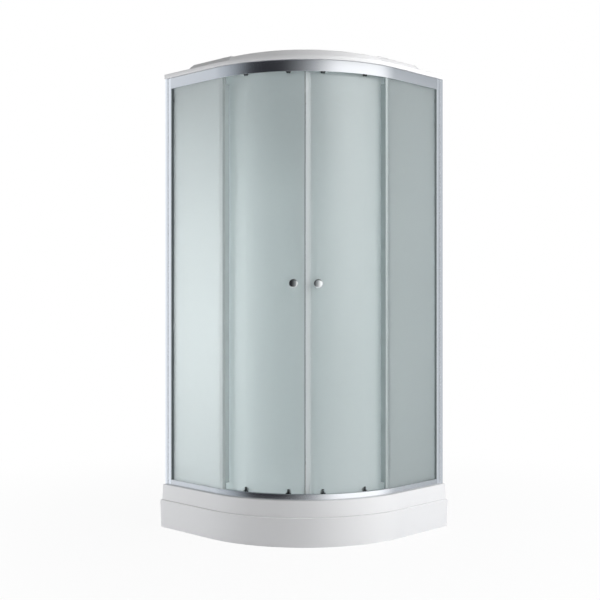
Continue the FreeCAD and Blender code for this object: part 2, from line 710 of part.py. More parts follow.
def stile():
    """Hollow inner profile with the pocket that holds the pane."""
    wall = PROFILE_WALL
    bottom = RIM_TOP
    top = UPPER_RAIL_TOP
    outer = RAIL_SIDE - wall - STILE_CLEARANCE
    back = RAIL_SIDE - POST_DEPTH + wall + STILE_CLEARANCE
    pocket_start = POST_WIDTH - POCKET_DEPTH
    pocket_outer = RAIL_SIDE - FIXED_GLASS_INSET + BEAD_LIP
    pocket_inner = RAIL_SIDE - FIXED_GLASS_INSET - GLASS - GLASS_CLEARANCE
    shape = block(outer, STILE_START, bottom, back, POST_WIDTH, top)
    hollow = block(outer - wall, STILE_START + wall, bottom, back + wall, pocket_start - wall, top)
    pocket = block(pocket_outer, pocket_start, bottom, pocket_inner, POST_WIDTH, top)
    rear = block(pocket_inner - wall, pocket_start, bottom, back + wall, POST_WIDTH - wall, top)
    seats = bead_screw_seats() + rail_screw_seats()
    return shape.cut([hollow, pocket, rear] + [screw_hole(seat, direction) for seat, direction in seats])


def bead():
    """Dark glazing bead that wedges the pane in its pocket and shows beside the post."""
    inner = RAIL_SIDE - FIXED_GLASS_INSET + GLASS_CLEARANCE / 2
    lip_outer = RAIL_SIDE - FIXED_GLASS_INSET + BEAD_LIP - GLASS_CLEARANCE / 2
    start = POST_WIDTH - POCKET_DEPTH + GLASS_CLEARANCE
    end = POST_WIDTH + BEAD_WIDTH
    lip = block(lip_outer, start, LOWER_RAIL_TOP, inner, end, UPPER_RAIL_BOTTOM)
    strip = block(RAIL_SIDE - BEAD_FACE_INSET, POST_WIDTH, LOWER_RAIL_TOP, inner, end, UPPER_RAIL_BOTTOM)
    holes = [screw_hole(seat, direction) for seat, direction in bead_screw_seats()]
    return fused([strip, lip]).cut(holes)


def bead_screw_seats():
    """Seats of the screws that hold the bead to the post's inner face."""
    side = RAIL_SIDE - BEAD_SCREW_INSET
    heights = spread(LOWER_RAIL_TOP, UPPER_RAIL_BOTTOM, BEAD_SCREW_MARGIN, BEAD_SCREW_COUNT)
    return [(at(side, POST_WIDTH + BEAD_WIDTH, height), TO_BACK) for height in heights]


def rail_screw_seats():
    """Seats of the screws that go through the post's inner face into the rails' ends."""
    side = RAIL_SIDE - RAIL_SCREW_INSET
    heights = (LOWER_SCREW_HEIGHT, UPPER_SCREW_HEIGHT)
    return [(at(side, POST_WIDTH - PROFILE_WALL, height), TO_BACK * -1) for height in heights]


def panel_screw_seats():
    """Seats of the screws that hold the back panel in its two channels."""
    seats = []
    depth = PANEL_INSET + PANEL + PANEL_FIT + CHANNEL_WALL
    for height in spread(RIM_TOP, UPPER_RAIL_TOP, PANEL_SCREW_MARGIN, PANEL_SCREW_COUNT):
        seats.append((at(REAR_POST + CHANNEL_DEPTH / 2, depth, height), TO_BACK))
        seats.append((at(RAIL_SIDE - POST_DEPTH - CHANNEL_DEPTH / 2, depth, height), TO_BACK))
    return seats


def fixed_glass():
    """Flat pane from the post's pocket to just past the end of the flat."""
    outer = RAIL_SIDE - FIXED_GLASS_INSET
    start = POST_WIDTH - POCKET_DEPTH + GLASS_CLEARANCE
    bottom = RIM_TOP + RAIL_WALL + GLASS_CLEARANCE
    return block(outer, start, bottom, outer - GLASS, FIXED_EDGE, FIXED_GLASS_TOP)


def fixed_edge_seal():
    """Clear channel on the pane's free edge with a fin towards the door."""
    bottom = LOWER_RAIL_TOP + MOVING_GAP
    top = UPPER_RAIL_BOTTOM - MOVING_GAP
    fit = GLASS_CLEARANCE / 2
    outer = RAIL_SIDE - FIXED_GLASS_INSET + fit
    inner = RAIL_SIDE - FIXED_GLASS_INSET - GLASS - fit
    start = FIXED_EDGE - EDGE_SEAL
    end = FIXED_EDGE + fit + SEAL_WALL
    shape = block(outer + SEAL_WALL, start, bottom, inner - SEAL_WALL, end, top)
    shape = shape.cut(block(outer, start, bottom, inner, FIXED_EDGE + fit, top))
    fin = block(inner - fit, end - FIN_THICK, bottom + FIN_MARGIN, fin_reach(), end, top - FIN_MARGIN)
    return shape.fuse(fin).removeSplitter()


def fin_reach():
    """The side distance at which the fin stops just short of the door's outer face."""
    along = FIXED_EDGE - FLAT
    return FLAT + math.sqrt((DOOR_OUTER + MOVING_GAP) ** 2 - along ** 2) + FIN_TIP_GAP


def glazing_gaskets():
    """Rubber strips that wedge the panes in both rails."""
    outer = RAIL_SIDE - RAIL_WALL - GLASS_CLEARANCE / 2
    inner = RAIL_SIDE - FIXED_GLASS_INSET + GLASS_CLEARANCE / 2
    strips = []
    for bottom in (RIM_TOP + RAIL_WALL, UPPER_RAIL_BOTTOM + GASKET_RISE):
        strip = block(outer, POST_WIDTH, bottom, inner, FLAT, bottom + GASKET_HEIGHT)
        strips += [strip, mirrored(strip)]
    return group(strips)


# ---- doors, right side unless named ----

def glass_hole(angle, height, radius):
    start = polar(angle, DOOR_INNER - CUT_PAST, height)
    return rod(start, outward(angle), radius, GLASS + 2 * CUT_PAST)


def door_glass():
    pane = sector(DOOR_INNER, DOOR_OUTER, door_edge_angle(), DOOR_ANGLE, DOOR_GLASS_BOTTOM, DOOR_GLASS_TOP)
    for angle in ROLLER_ANGLES.values():
        pane = pane.cut(glass_hole(angle, BRACKET_BOLT_HEIGHT, BRACKET_BOLT_RADIUS + GLASS_HOLE_FIT))
        pane = pane.cut(glass_hole(angle, HOOK_BOLT_HEIGHT, HOOK_BOLT_RADIUS + GLASS_HOLE_FIT))
    return pane.cut(glass_hole(KNOB_ANGLE, KNOB_HEIGHT, KNOB_STUD + GLASS_HOLE_FIT))


def door_edge_angle():
    """Where a door's glass starts, behind its meeting seal's nose."""
    return DOOR_GAP_ANGLE + degrees(SEAL_WALL + GLASS_CLEARANCE, DOOR_OUTER)


def edge_channel(angle0, angle1, closed_at_start, bottom, top):
    """Channel round a door edge; its web is at angle0 or at angle1."""
    fit = GLASS_CLEARANCE / 2
    web = degrees(SEAL_WALL + fit, DOOR_OUTER)
    shape = sector(DOOR_INNER - SEAL_WALL - fit, DOOR_OUTER + SEAL_WALL + fit, angle0, angle1, bottom, top)
    past = degrees(CUT_PAST, DOOR_OUTER)
    first = angle0 + web if closed_at_start else angle0 - past
    last = angle1 + past if closed_at_start else angle1 - web
    return shape.cut(sector(DOOR_INNER - fit, DOOR_OUTER + fit, first, last, bottom, top))


def meeting_seal(width):
    end = DOOR_GAP_ANGLE + degrees(width, DOOR_OUTER)
    return edge_channel(DOOR_GAP_ANGLE, end, True, DOOR_GLASS_BOTTOM, DOOR_GLASS_TOP)


def trailing_seal():
    end = DOOR_ANGLE + degrees(SEAL_WALL + GLASS_CLEARANCE, DOOR_OUTER)
    start = end - degrees(EDGE_SEAL, DOOR_OUTER)
    channel = edge_channel(start, end, False, LOWER_RAIL_TOP, UPPER_RAIL_BOTTOM)
    fin_end = RAIL_RADIUS - FIXED_GLASS_INSET - GLASS - 2 * SEAL_WALL - MOVING_GAP
    fin_start = end - degrees(FIN_THICK, DOOR_OUTER)
    bottom = LOWER_RAIL_TOP + FIN_MARGIN
    fin = sector(DOOR_OUTER + SEAL_WALL, fin_end, fin_start, end, bottom, UPPER_RAIL_BOTTOM - FIN_MARGIN)
    return channel.fuse(fin).removeSplitter()


def axle(angle, height, back):
    """Stub axle out from a plate, with a head beyond the wheel."""
    start = polar(angle, back, height)
    neck = WHEEL_OUTER + WHEEL_GAP - back
    end = neck + AXLE_HEAD_THICK
    profile = [(0, AXLE_RADIUS), (neck, AXLE_RADIUS), (neck, AXLE_HEAD), (end, AXLE_HEAD)]
    return turned(profile, start, outward(angle))


def upper_roller_brackets():
    brackets = []
    top = UPPER_AXLE_HEIGHT + BRACKET_TOP_MARGIN
    for angle in ROLLER_ANGLES.values():
        plate = standing_plate(angle, PLATE_INNER, PLATE_OUTER, BRACKET_WIDTH, BRACKET_BOTTOM, top)
        edges = [edge for edge in plate.Edges if is_radial(edge, angle)]
        plate = plate.makeFillet(BRACKET_ROUND, edges)
        start = polar(angle, PLATE_INNER, BRACKET_BOLT_HEIGHT)
        plate = plate.cut(rod(start, outward(angle), BRACKET_BOLT_RADIUS + BOLT_FIT, PLATE_THICK))
        brackets.append(plate.fuse(axle(angle, UPPER_AXLE_HEIGHT, PLATE_INNER)).removeSplitter())
    return group(brackets)


def is_radial(edge, angle):
    """True for an edge that runs along the radius at an angle."""
    start, end = edge.Vertexes[0].Point, edge.Vertexes[-1].Point
    along = end - start
    return abs(abs(along.dot(outward(angle))) - along.Length) < TOLERANCE


def clamp_bolt(angle, height, radius, tip, head_radius):
    """Bolt from a round cap inside the glass out to a tip radius."""
    start = polar(angle, DOOR_INNER - GLASS_CLEARANCE, height)
    inside = -CLAMP_THICK
    length = tip - DOOR_INNER + GLASS_CLEARANCE
    profile = [
        (inside, head_radius - CLAMP_CHAMFER), (inside + CLAMP_CHAMFER, head_radius),
        (0, head_radius), (0, radius), (length, radius)]
    return turned(profile, start, outward(angle))


def upper_roller_bolts():
    bolts = []
    for angle in ROLLER_ANGLES.values():
        bolts.append(clamp_bolt(angle, BRACKET_BOLT_HEIGHT, BRACKET_BOLT_RADIUS, PLATE_OUTER, CLAMP_RADIUS))
    return group(bolts)


def lower_roller_bolts():
    """Bolts through the hooks' slots, with a low head outside."""
    bolts = []
    for angle in ROLLER_ANGLES.values():
        head_start = PLATE_OUTER + SLIDE_GAP
        bolt = clamp_bolt(angle, HOOK_BOLT_HEIGHT, HOOK_BOLT_RADIUS, head_start, HOOK_CLAMP_RADIUS)
        head_seat = polar(angle, head_start, HOOK_BOLT_HEIGHT)
        head = rod(head_seat, outward(angle), HOOK_BOLT_HEAD, HOOK_BOLT_HEAD_THICK)
        bolts.append(bolt.fuse(head).removeSplitter())
    return group(bolts)


def release_hook(angle):
    """Spring-loaded hook: a base that holds the wheel's axle and a slotted post to press down."""
    base_top = HOOK_BOTTOM + HOOK_BASE_HEIGHT
    base = standing_plate(angle, PLATE_INNER, PLATE_OUTER, HOOK_WIDTH, HOOK_BOTTOM, base_top)
    edges = [edge for edge in base.Edges if is_radial(edge, angle)]
    base = base.makeFillet(HOOK_BOLT_HEAD, edges)
    half = HOOK_BOLT_RADIUS + SLIDE_GAP
    slot_top = HOOK_BOLT_HEIGHT + HOOK_TRAVEL
    post_top = slot_top + half + HOOK_END_WALL
    post = standing_plate(angle, PLATE_INNER, PLATE_OUTER, HOOK_POST_WIDTH, LOWER_AXLE_HEIGHT, post_top)
    slot = standing_plate(angle, PLATE_INNER, PLATE_OUTER, 2 * half, HOOK_BOLT_HEIGHT, slot_top)
    hook = base.fuse(post).cut(slot)
    for height in (HOOK_BOLT_HEIGHT, slot_top):
        hook = hook.cut(rod(polar(angle, PLATE_INNER, height), outward(angle), half, PLATE_THICK))
    return hook.fuse(axle(angle, LOWER_AXLE_HEIGHT, PLATE_INNER)).removeSplitter()


def wheel(angle, height, radius):
    profile = [
        (0, radius - WHEEL_CHAMFER), (WHEEL_CHAMFER, radius),
        (WHEEL_WIDTH - WHEEL_CHAMFER, radius), (WHEEL_WIDTH, radius - WHEEL_CHAMFER)]
    base = polar(angle, WHEEL_INNER, height)
    bore = rod(base, outward(angle), AXLE_RADIUS + AXLE_FIT, WHEEL_WIDTH)
    return turned(profile, base, outward(angle)).cut(bore)


def knob_profile():
    """Base, neck and dished head, as (along, radius) from the glass."""
    head = KNOB_LENGTH - KNOB_HEAD
    return [
        (0, KNOB_BASE), (KNOB_BASE_THICK, KNOB_BASE), (KNOB_BASE_THICK + KNOB_NECK_TAPER, KNOB_NECK),
        (head - KNOB_CONE, KNOB_NECK), (head, KNOB_RADIUS - KNOB_ROUND), (head + KNOB_ROUND, KNOB_RADIUS),
        (KNOB_LENGTH - KNOB_ROUND, KNOB_RADIUS), (KNOB_LENGTH, KNOB_RADIUS - KNOB_ROUND)]


def knob_outer():
    """Outer knob with the stud that passes through the glass."""
    start = polar(KNOB_ANGLE, DOOR_OUTER + GLASS_CLEARANCE, KNOB_HEIGHT)
    knob = turned(knob_profile(), start, outward(KNOB_ANGLE))
    stud_start = polar(KNOB_ANGLE, DOOR_INNER - KNOB_STUD_REACH, KNOB_HEIGHT)
    stud = rod(stud_start, outward(KNOB_ANGLE), KNOB_STUD, KNOB_STUD_REACH + GLASS + KNOB_BASE_THICK)
    return knob.fuse(stud).removeSplitter()


def knob_inner():
    inward = outward(KNOB_ANGLE) * -1
    start = polar(KNOB_ANGLE, DOOR_INNER - GLASS_CLEARANCE, KNOB_HEIGHT)
    knob = turned(knob_profile(), start, inward)
    return knob.cut(rod(start, inward, KNOB_STUD + THREAD_FIT, KNOB_STUD_REACH + MOVING_GAP))


# ---- rear ----

def rear_panel():
    """Flat panel along the back wall, from the corner post to the right wall profile."""
    start = REAR_POST + GLASS_CLEARANCE
    end = RAIL_SIDE - POST_DEPTH - GLASS_CLEARANCE
    bottom = RIM_TOP + GLASS_CLEARANCE
    panel = block(start, PANEL_INSET, bottom, end, PANEL_INSET + PANEL, UPPER_RAIL_TOP - GLASS_CLEARANCE)
    return panel.cut([screw_hole(seat, direction) for seat, direction in panel_screw_seats()])


def rear_corner_post():
    """Square tube in the corner with a channel for each rear panel."""
    wall = REAR_POST_WALL
    post = block(0, 0, RIM_TOP, REAR_POST, REAR_POST, UPPER_RAIL_TOP)
    post = post.cut(block(wall, wall, RIM_TOP, REAR_POST - wall, REAR_POST - wall, UPPER_RAIL_TOP))
    for edge in (PANEL_INSET - PANEL_FIT - CHANNEL_WALL, PANEL_INSET + PANEL + PANEL_FIT):
        end = REAR_POST + CHANNEL_DEPTH
        fin = block(REAR_POST - wall, edge, RIM_TOP, end, edge + CHANNEL_WALL, UPPER_RAIL_TOP)
        post = post.fuse([fin, mirrored(fin)])
    holes = [screw_hole(seat, direction) for seat, direction in panel_screw_seats()]
    return post.removeSplitter().cut(holes + [mirrored(hole) for hole in holes])


# ---- roof ----

def crown_block(drop, base, shrink):
    """Raised front of the roof over the arc, arched sideways; drop and shrink make the inner one."""
    side = RAIL_SIDE + ROOF_OVERHANG - shrink
    top = CROWN_TOP + CROWN_SPARE - drop
    outside = tapered((side, shrink, base, 0.0), (side - CROWN_LEAN, shrink, top, 0.0))
    keep = rod(CENTRE + UP * base, UP, RAIL_RADIUS - CROWN_WIDTH + shrink, top - base)
    limit = CROWN_ANGLE - degrees(shrink, RAIL_RADIUS)
    arch = Part.makeCylinder(
        CROWN_ARCH_RADIUS, FAR, polar(0, -TRAY_SIDE / 2, CROWN_TOP - drop - CROWN_ARCH_RADIUS), outward(0))
    return outside.cut(keep).common(wedge(-limit, limit, base, top)).common(arch)


def hump(grow):
    """Raised hump beside the crown along the right flat; a negative grow makes the inner one."""
    outer = RAIL_SIDE - HUMP_INSET + grow
    inner = RAIL_SIDE - HUMP_INSET - HUMP_WIDTH - grow
    start = HUMP_START - grow
    end = FLAT + (RAIL_RADIUS - HUMP_INSET) * math.sin(math.radians(45 - CROWN_ANGLE)) - HUMP_GROOVE + grow
    bottom = ROOF_CEILING
    top = HUMP_TOP + grow

    def ring(inset, first, last, z):
        corners = [
            at(outer - inset, first, z), at(outer - inset, last, z),
            at(inner + inset, last, z), at(inner + inset, first, z), at(outer - inset, first, z)]
        return Part.makePolygon(corners)

    low = ring(0.0, start, end, bottom)
    high = ring(HUMP_DRAFT, start + HUMP_SLOPE, end - HUMP_GROOVE, top)
    return Part.makeLoft([low, high], True, True)


def dome(grow):
    """Low raised panel in the middle of the roof."""
    side = RAIL_SIDE - DOME_INSET + grow
    wall = DOME_INSET - grow
    low = (side, wall, ROOF_CEILING, DOME_DRAFT)
    high = (side - DOME_DRAFT, wall + DOME_DRAFT, DOME_TOP + grow, DOME_DRAFT)
    return tapered(low, high)


def roof_shell():
    side = RAIL_SIDE + ROOF_OVERHANG
    deck = quadrant(side, 0, ROOF_LIP_BOTTOM, ROOF_LIP_TOP)
    rebate = quadrant(side - ROOF_WALL, 0, ROOF_LIP_BOTTOM, UPPER_RAIL_TOP)
    side_hump = hump(0.0)
    outside = deck.cut(rebate).fuse([
        crown_block(0.0, ROOF_CEILING, 0.0), side_hump, mirrored(side_hump), dome(0.0)])
    seat = ROOF_SEAT_WIDTH
    hollow = quadrant(RAIL_SIDE - seat, seat, UPPER_RAIL_TOP, ROOF_CEILING)
    inner_hump = hump(-ROOF_WALL)
    shell = outside.cut(hollow)
    shell = shell.cut(crown_block(ROOF_WALL, ROOF_CEILING, ROOF_WALL))
    shell = shell.cut(inner_hump).cut(mirrored(inner_hump)).cut(dome(-ROOF_WALL))
    holes = [screw_hole(seat, direction) for seat, direction in roof_screw_seats()]
    return shell.cut(holes).removeSplitter()


# ---- screws ----

def screw(seat, direction):
    """Pan-head screw whose head sits on seat; direction is from the head to the tip."""
    profile = [
        (-SCREW_HEAD_HEIGHT, SCREW_HEAD / 2), (-SCREW_HEAD_HEIGHT / 2, SCREW_HEAD), (0, SCREW_HEAD),
        (0, SCREW_RADIUS), (SCREW_LENGTH - SCREW_POINT, SCREW_RADIUS), (SCREW_LENGTH, SCREW_RADIUS / 4)]
    return turned(profile, seat, direction)


def screw_hole(seat, direction):
    """Clearance hole for a screw's shank."""
    return rod(seat, direction, SCREW_RADIUS + SCREW_FIT, SCREW_LENGTH + SCREW_FIT)


def roof_screw_seats():
    """Seats of the screws that come up through the upper rail into the roof."""
    radius = RAIL_RADIUS - (SLOT_INSET + RAIL_DEPTH) / 2
    return [(polar(angle, radius, UPPER_RAIL_TOP - RAIL_WALL), UP) for angle in ROOF_SCREW_ANGLES]


def frame_screws():
    screws = [screw(seat, direction) for seat, direction in roof_screw_seats()]
    for seat, direction in bead_screw_seats() + rail_screw_seats() + panel_screw_seats():
        side_screw = screw(seat, direction)
        screws += [side_screw, mirrored(side_screw)]
    return group(screws)


# ---- assembly ----

def save(name, shape):
    shape.exportStep("parts/" + name + ".step")


def save_both(name, shape):
    """A right-hand piece and its mirror image on the left."""
    save(name + "_right", shape)
    save(name + "_left", mirrored(shape))


def save_tray():
    save("tray_shell", tray_shell())
    save("tray_apron", tray_apron())
    save("apron_blocks", apron_blocks())
    save("support_bars", support_bars())
    save("foot_studs", foot_studs())
    save("foot_nuts", foot_nuts())
    save("foot_pads", foot_pads())
    save("drain_body", drain_body())
    save("drain_seal", drain_seal())
    save("drain_nut", drain_nut())
    save("drain_cover", drain_cover())


def save_frame():
    save("lower_rail", lower_rail())
    save("upper_rail", upper_rail())
    save("track_stops", track_stops())
    save_both("wall_profile", wall_profile())
    save_both("stile", stile())
    save_both("bead", bead())
    save_both("fixed_glass", fixed_glass())
    save_both("fixed_edge_seal", fixed_edge_seal())
    save("glazing_gaskets", glazing_gaskets())
    panel = rear_panel()
    save("rear_panel_back", panel)
    save("rear_panel_left", mirrored(panel))
    save("rear_corner_post", rear_corner_post())
    save("roof_shell", roof_shell())
    save("frame_screws", frame_screws())


def save_doors():
    save_both("door_glass", door_glass())
    save("meeting_seal_right", meeting_seal(RIGHT_MEETING_SEAL))
    save("meeting_seal_left", mirrored(meeting_seal(LEFT_MEETING_SEAL)))
    save_both("trailing_seal", trailing_seal())
    save_both("upper_roller_brackets", upper_roller_brackets())
    save_both("upper_roller_bolts", upper_roller_bolts())
    save_both("lower_roller_bolts", lower_roller_bolts())
    save_both("knob_outer", knob_outer())
    save_both("knob_inner", knob_inner())


def save_rollers():
    for place, angle in ROLLER_ANGLES.items():
        upper = wheel(angle, UPPER_AXLE_HEIGHT, UPPER_WHEEL_RADIUS)
        hook = release_hook(angle)
        lower = wheel(angle, LOWER_AXLE_HEIGHT, LOWER_WHEEL_RADIUS)
        for name, shape in (("upper_wheel", upper), ("release_hook", hook), ("lower_wheel", lower)):
            save(name + "_right_" + place, shape)
            save(name + "_left_" + place, mirrored(shape))


os.makedirs("parts", exist_ok=True)
save_tray()
save_frame()
save_doors()
save_rollers()
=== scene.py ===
import json
import math

import bmesh
import bpy
from bpy.props import FloatProperty, FloatVectorProperty, PointerProperty
from mathutils import Matrix, Vector


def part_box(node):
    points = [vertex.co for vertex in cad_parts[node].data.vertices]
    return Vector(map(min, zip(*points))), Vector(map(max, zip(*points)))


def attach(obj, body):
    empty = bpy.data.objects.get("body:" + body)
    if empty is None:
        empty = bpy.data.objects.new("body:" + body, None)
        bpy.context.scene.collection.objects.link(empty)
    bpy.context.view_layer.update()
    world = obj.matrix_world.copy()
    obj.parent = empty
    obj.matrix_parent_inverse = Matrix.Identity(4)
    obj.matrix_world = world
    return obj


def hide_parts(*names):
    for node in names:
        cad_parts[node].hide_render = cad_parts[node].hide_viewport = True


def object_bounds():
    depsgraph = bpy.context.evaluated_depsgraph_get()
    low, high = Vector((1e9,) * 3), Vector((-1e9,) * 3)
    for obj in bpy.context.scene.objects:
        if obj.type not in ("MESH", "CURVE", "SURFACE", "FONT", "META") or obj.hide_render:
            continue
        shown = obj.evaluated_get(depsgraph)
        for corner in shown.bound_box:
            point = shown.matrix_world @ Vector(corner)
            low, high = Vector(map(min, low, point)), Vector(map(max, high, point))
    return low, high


bl_info = {
    "name": "Quadrant shower enclosure",
    "version": (1, 0, 0),
    "blender": (4, 5, 0),
    "location": "3D View > Sidebar > Enclosure",
    "description": "Finishes, mouldings and fittings of a quadrant shower enclosure with sliding doors",
    "category": "Object",
}

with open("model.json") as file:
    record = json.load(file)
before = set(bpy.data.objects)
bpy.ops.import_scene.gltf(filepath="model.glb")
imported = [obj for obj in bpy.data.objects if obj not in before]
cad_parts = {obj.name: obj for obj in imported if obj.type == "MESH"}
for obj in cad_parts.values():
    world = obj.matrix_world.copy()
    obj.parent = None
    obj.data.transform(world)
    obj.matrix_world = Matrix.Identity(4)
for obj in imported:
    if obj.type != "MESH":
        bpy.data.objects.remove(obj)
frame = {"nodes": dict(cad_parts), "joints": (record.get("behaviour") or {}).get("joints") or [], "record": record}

# Everything is in metres. "side" is a distance from a wall and "reach" a distance out from the spine
# that runs through the arc centre. An angle is in degrees from the diagonal, positive to the right.

MM = 0.001
UP = Vector((0, 0, 1))
SIDES = {"right": 1, "left": -1}
DIAGONAL = -45  # direction of the diagonal, in degrees from the x axis
ARC_END = 45  # angle at which the arc meets each flat
TINY = 0.01 * MM


def joint(name):
    return next(entry for entry in frame["joints"] if entry["name"] == name)


# Read from the frame
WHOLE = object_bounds()
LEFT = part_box("tray_shell")[0].x
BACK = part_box("tray_shell")[1].y
CENTRE = Vector((*joint("right_door_slide")["pos_m"][:2], 0))
FLAT = CENTRE.x - LEFT
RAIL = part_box("lower_rail")[1].x - CENTRE.x
RIM_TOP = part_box("lower_rail")[0].z
LOWER_RAIL_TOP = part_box("lower_rail")[1].z
UPPER_RAIL_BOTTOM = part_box("upper_rail")[0].z
UPPER_RAIL_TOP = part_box("upper_rail")[1].z
APRON_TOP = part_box("tray_apron")[1].z
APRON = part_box("tray_apron")[1].x - CENTRE.x
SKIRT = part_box("tray_shell")[1].x - CENTRE.x
FLOOR_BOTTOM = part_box("tray_shell")[0].z
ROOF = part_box("roof_shell")[1].x - CENTRE.x
ROOF_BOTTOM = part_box("roof_shell")[0].z
ROOF_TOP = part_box("roof_shell")[1].z


def depths(node):
    """How far a node of the right flat starts and ends behind the rails' face."""
    low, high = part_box(node)
    return CENTRE.x + RAIL - high.x, CENTRE.x + RAIL - low.x


def heights(node):
    """Bottom and top of a node."""
    low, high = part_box(node)
    return low.z, high.z


def angle_of(from_centre):
    """Angle of a level vector that starts at the arc centre."""
    return math.degrees(math.atan2(from_centre.y, from_centre.x)) - DIAGONAL


def round_box(node):
    """First and last angle, and inner and outer reach, of a node round the arc centre."""
    thing = frame["nodes"][node]
    points = [(thing.matrix_world @ vertex.co - CENTRE).to_2d() for vertex in thing.data.vertices]
    angles = [angle_of(point) for point in points]
    reaches = [point.length for point in points]
    return min(angles), max(angles), min(reaches), max(reaches)


POST_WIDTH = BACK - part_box("stile_right")[0].y
WALL_PROFILE_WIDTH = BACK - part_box("wall_profile_right")[0].y
STILE_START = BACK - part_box("stile_right")[1].y
STILE_FRONT, STILE_BACK = depths("stile_right")
PANE_FRONT, PANE_BACK = depths("fixed_glass_right")
BEAD_FRONT = depths("bead_right")[0]
BEAD_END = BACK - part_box("bead_right")[0].y
DOOR_INNER, DOOR_OUTER = round_box("door_glass_right")[2:]
LIP_END = round_box("lower_rail")[1]
WHEEL_GAP = 0.3 * MM
LIP_THICK = 2.0 * MM
LOWER_LIP_TOP = heights("lower_wheel_right_lead")[1] + WHEEL_GAP + LIP_THICK
UPPER_LIP_TOP = heights("upper_wheel_right_lead")[0] - WHEEL_GAP
KNOB_HEIGHT = sum(heights("knob_outer_right")) / 2

# Steps along curves
PATH_STEPS = 96
RAIL_FACE_STEPS = 8
POST_FACE_STEPS = 6
LIP_STEPS = 8
SEAL_STEPS = 6
KNOB_STEPS = 72
KNOB_FACE_STEPS = 8
PIN_STEPS = 32
FLAT_STEPS = 6
CORNER_STEPS = 8
ARC_STEPS = 90
ROUND_STEPS = 6
BORDER_STEPS = 24
DOME_STEPS = 10

# Meshes
LARGEST_CUT = 0.49  # share of a side that a rounded corner may take
SAME_POINT = 1e-6
NO_LENGTH = 1e-7
SHARP = 35.0  # angle from which an edge is drawn sharp
MOULDED_SHARP = 50.0  # the same on mouldings


# ---- numbers and places ----

def outward(angle):
    """Unit vector pointing out from the arc centre."""
    turn = math.radians(angle + DIAGONAL)
    return Vector((math.cos(turn), math.sin(turn), 0))


def polar(angle, reach, z=0.0):
    """A point round the arc centre."""
    return CENTRE + outward(angle) * reach + UP * z


def at(p, q, z=0.0):
    """The point p from the left wall and q from the back wall."""
    return Vector((LEFT + p, BACK - q, z))


def ease(value):
    """0 to 1 with soft ends."""
    inside = min(max(value, 0.0), 1.0)
    return inside * inside * (3 - 2 * inside)


def shares(steps):
    """From 0 to 1 in equal steps."""
    return [step / steps for step in range(steps + 1)]


def curve(first, corner, last, share):
    """A point on the curve from first to last that turns at corner."""
    return first * (1 - share) ** 2 + corner * (2 * share * (1 - share)) + last * share ** 2


def rounded(corners, steps=4):
    """A closed outline with each (x, y, radius) corner turned into a small curve."""
    outline = []
    for number, (x, y, radius) in enumerate(corners):
        corner = Vector((x, y))
        before = Vector(corners[number - 1][:2]) - corner
        after = Vector(corners[(number + 1) % len(corners)][:2]) - corner
        if radius <= 0:
            outline.append(corner)
            continue
        half = before.angle(after) / 2
        cut = min(radius / math.tan(half), LARGEST_CUT * before.length, LARGEST_CUT * after.length)
        first = corner + before.normalized() * cut
        last = corner + after.normalized() * cut
        outline += [curve(first, corner, last, share) for share in shares(steps)]
    return outline


def arc_path():
    """Origins and directions round the arc, from the right flat to the left one."""
    return [(CENTRE.copy(), outward(ARC_END - 2 * ARC_END * share)) for share in shares(PATH_STEPS)]


def front_path(start):
    """The same with both flats, each from its start beside the wall."""
    return [(at(FLAT, start), Vector((1, 0, 0))), *arc_path(), (at(start, FLAT), Vector((0, -1, 0)))]


# ---- meshes ----

class Shape:
    """Points and faces that are gathered into one mesh."""

    def __init__(self):
        self.points = []
        self.faces = []

    def rings(self, rings, closed_path=False):
        """Skin over rings with equally many points, with end caps unless the path is closed."""
        base = len(self.points)
        count = len(rings[0])
        for ring in rings:
            self.points += [tuple(point) for point in ring]
        for row in range(len(rings) if closed_path else len(rings) - 1):
            here = base + row * count
            there = base + (row + 1) % len(rings) * count
            for column in range(count):
                beside = (column + 1) % count
                self.faces.append((here + column, here + beside, there + beside, there + column))
        if not closed_path:
            for end in (base, base + (len(rings) - 1) * count):
                self.faces.append(tuple(range(end, end + count)))
        return self

    def sweep(self, section, stations):
        """A (reach, height) section carried along stations."""
        rings = [[origin + way * reach + UP * z for reach, z in section] for origin, way in stations]
        return self.rings(rings)

    def upright(self, outline, z0, z1):
        """A (p, q) outline raised from z0 to z1."""
        return self.rings([[at(p, q, z) for p, q in outline] for z in (z0, z1)])

    def turned(self, profile, base, direction, steps):
        """(along, radius) points turned round direction from base."""
        side = direction.orthogonal().normalized()
        other = direction.cross(side)
        rings = []
        for along, radius in profile:
            ring = []
            for step in range(steps):
                turn = math.tau * step / steps
                spoke = side * math.cos(turn) + other * math.sin(turn)
                ring.append(base + direction * along + spoke * radius)
            rings.append(ring)
        return self.rings(rings)

    def mirrored(self):
        """The same points on the other side of the diagonal."""
        self.points = [(-y, -x, z) for x, y, z in self.points]
        return self

    def mesh(self, name, sharp):
        """The finished mesh, smooth but for edges sharper than an angle."""
        mesh = bpy.data.meshes.new(name)
        mesh.from_pydata(self.points, [], self.faces)
        work = bmesh.new()
        work.from_mesh(mesh)
        bmesh.ops.remove_doubles(work, verts=work.verts, dist=SAME_POINT)
        bmesh.ops.dissolve_degenerate(work, edges=work.edges, dist=NO_LENGTH)
        bmesh.ops.recalc_face_normals(work, faces=work.faces)
        work.to_mesh(mesh)
        work.free()
        mesh.shade_smooth()
        mesh.set_sharp_from_angle(angle=math.radians(sharp))
        return mesh


def drawn_in(outline, inset):
    """An outline moved inwards by a small inset at its corners."""
    if inset == 0:
        return outline
    middle = sum((Vector(point[:2]) for point in outline), Vector((0, 0))) / len(outline)
    moved = []
    for number, point in enumerate(outline):
        here = Vector(point)
        along = Vector(outline[(number + 1) % len(outline)]) - Vector(outline[number - 1])
        square = Vector((along.y, -along.x)).normalized()
        if square.dot(middle - here) < 0:
            square = -square
        moved.append(here + square * inset)
    return moved


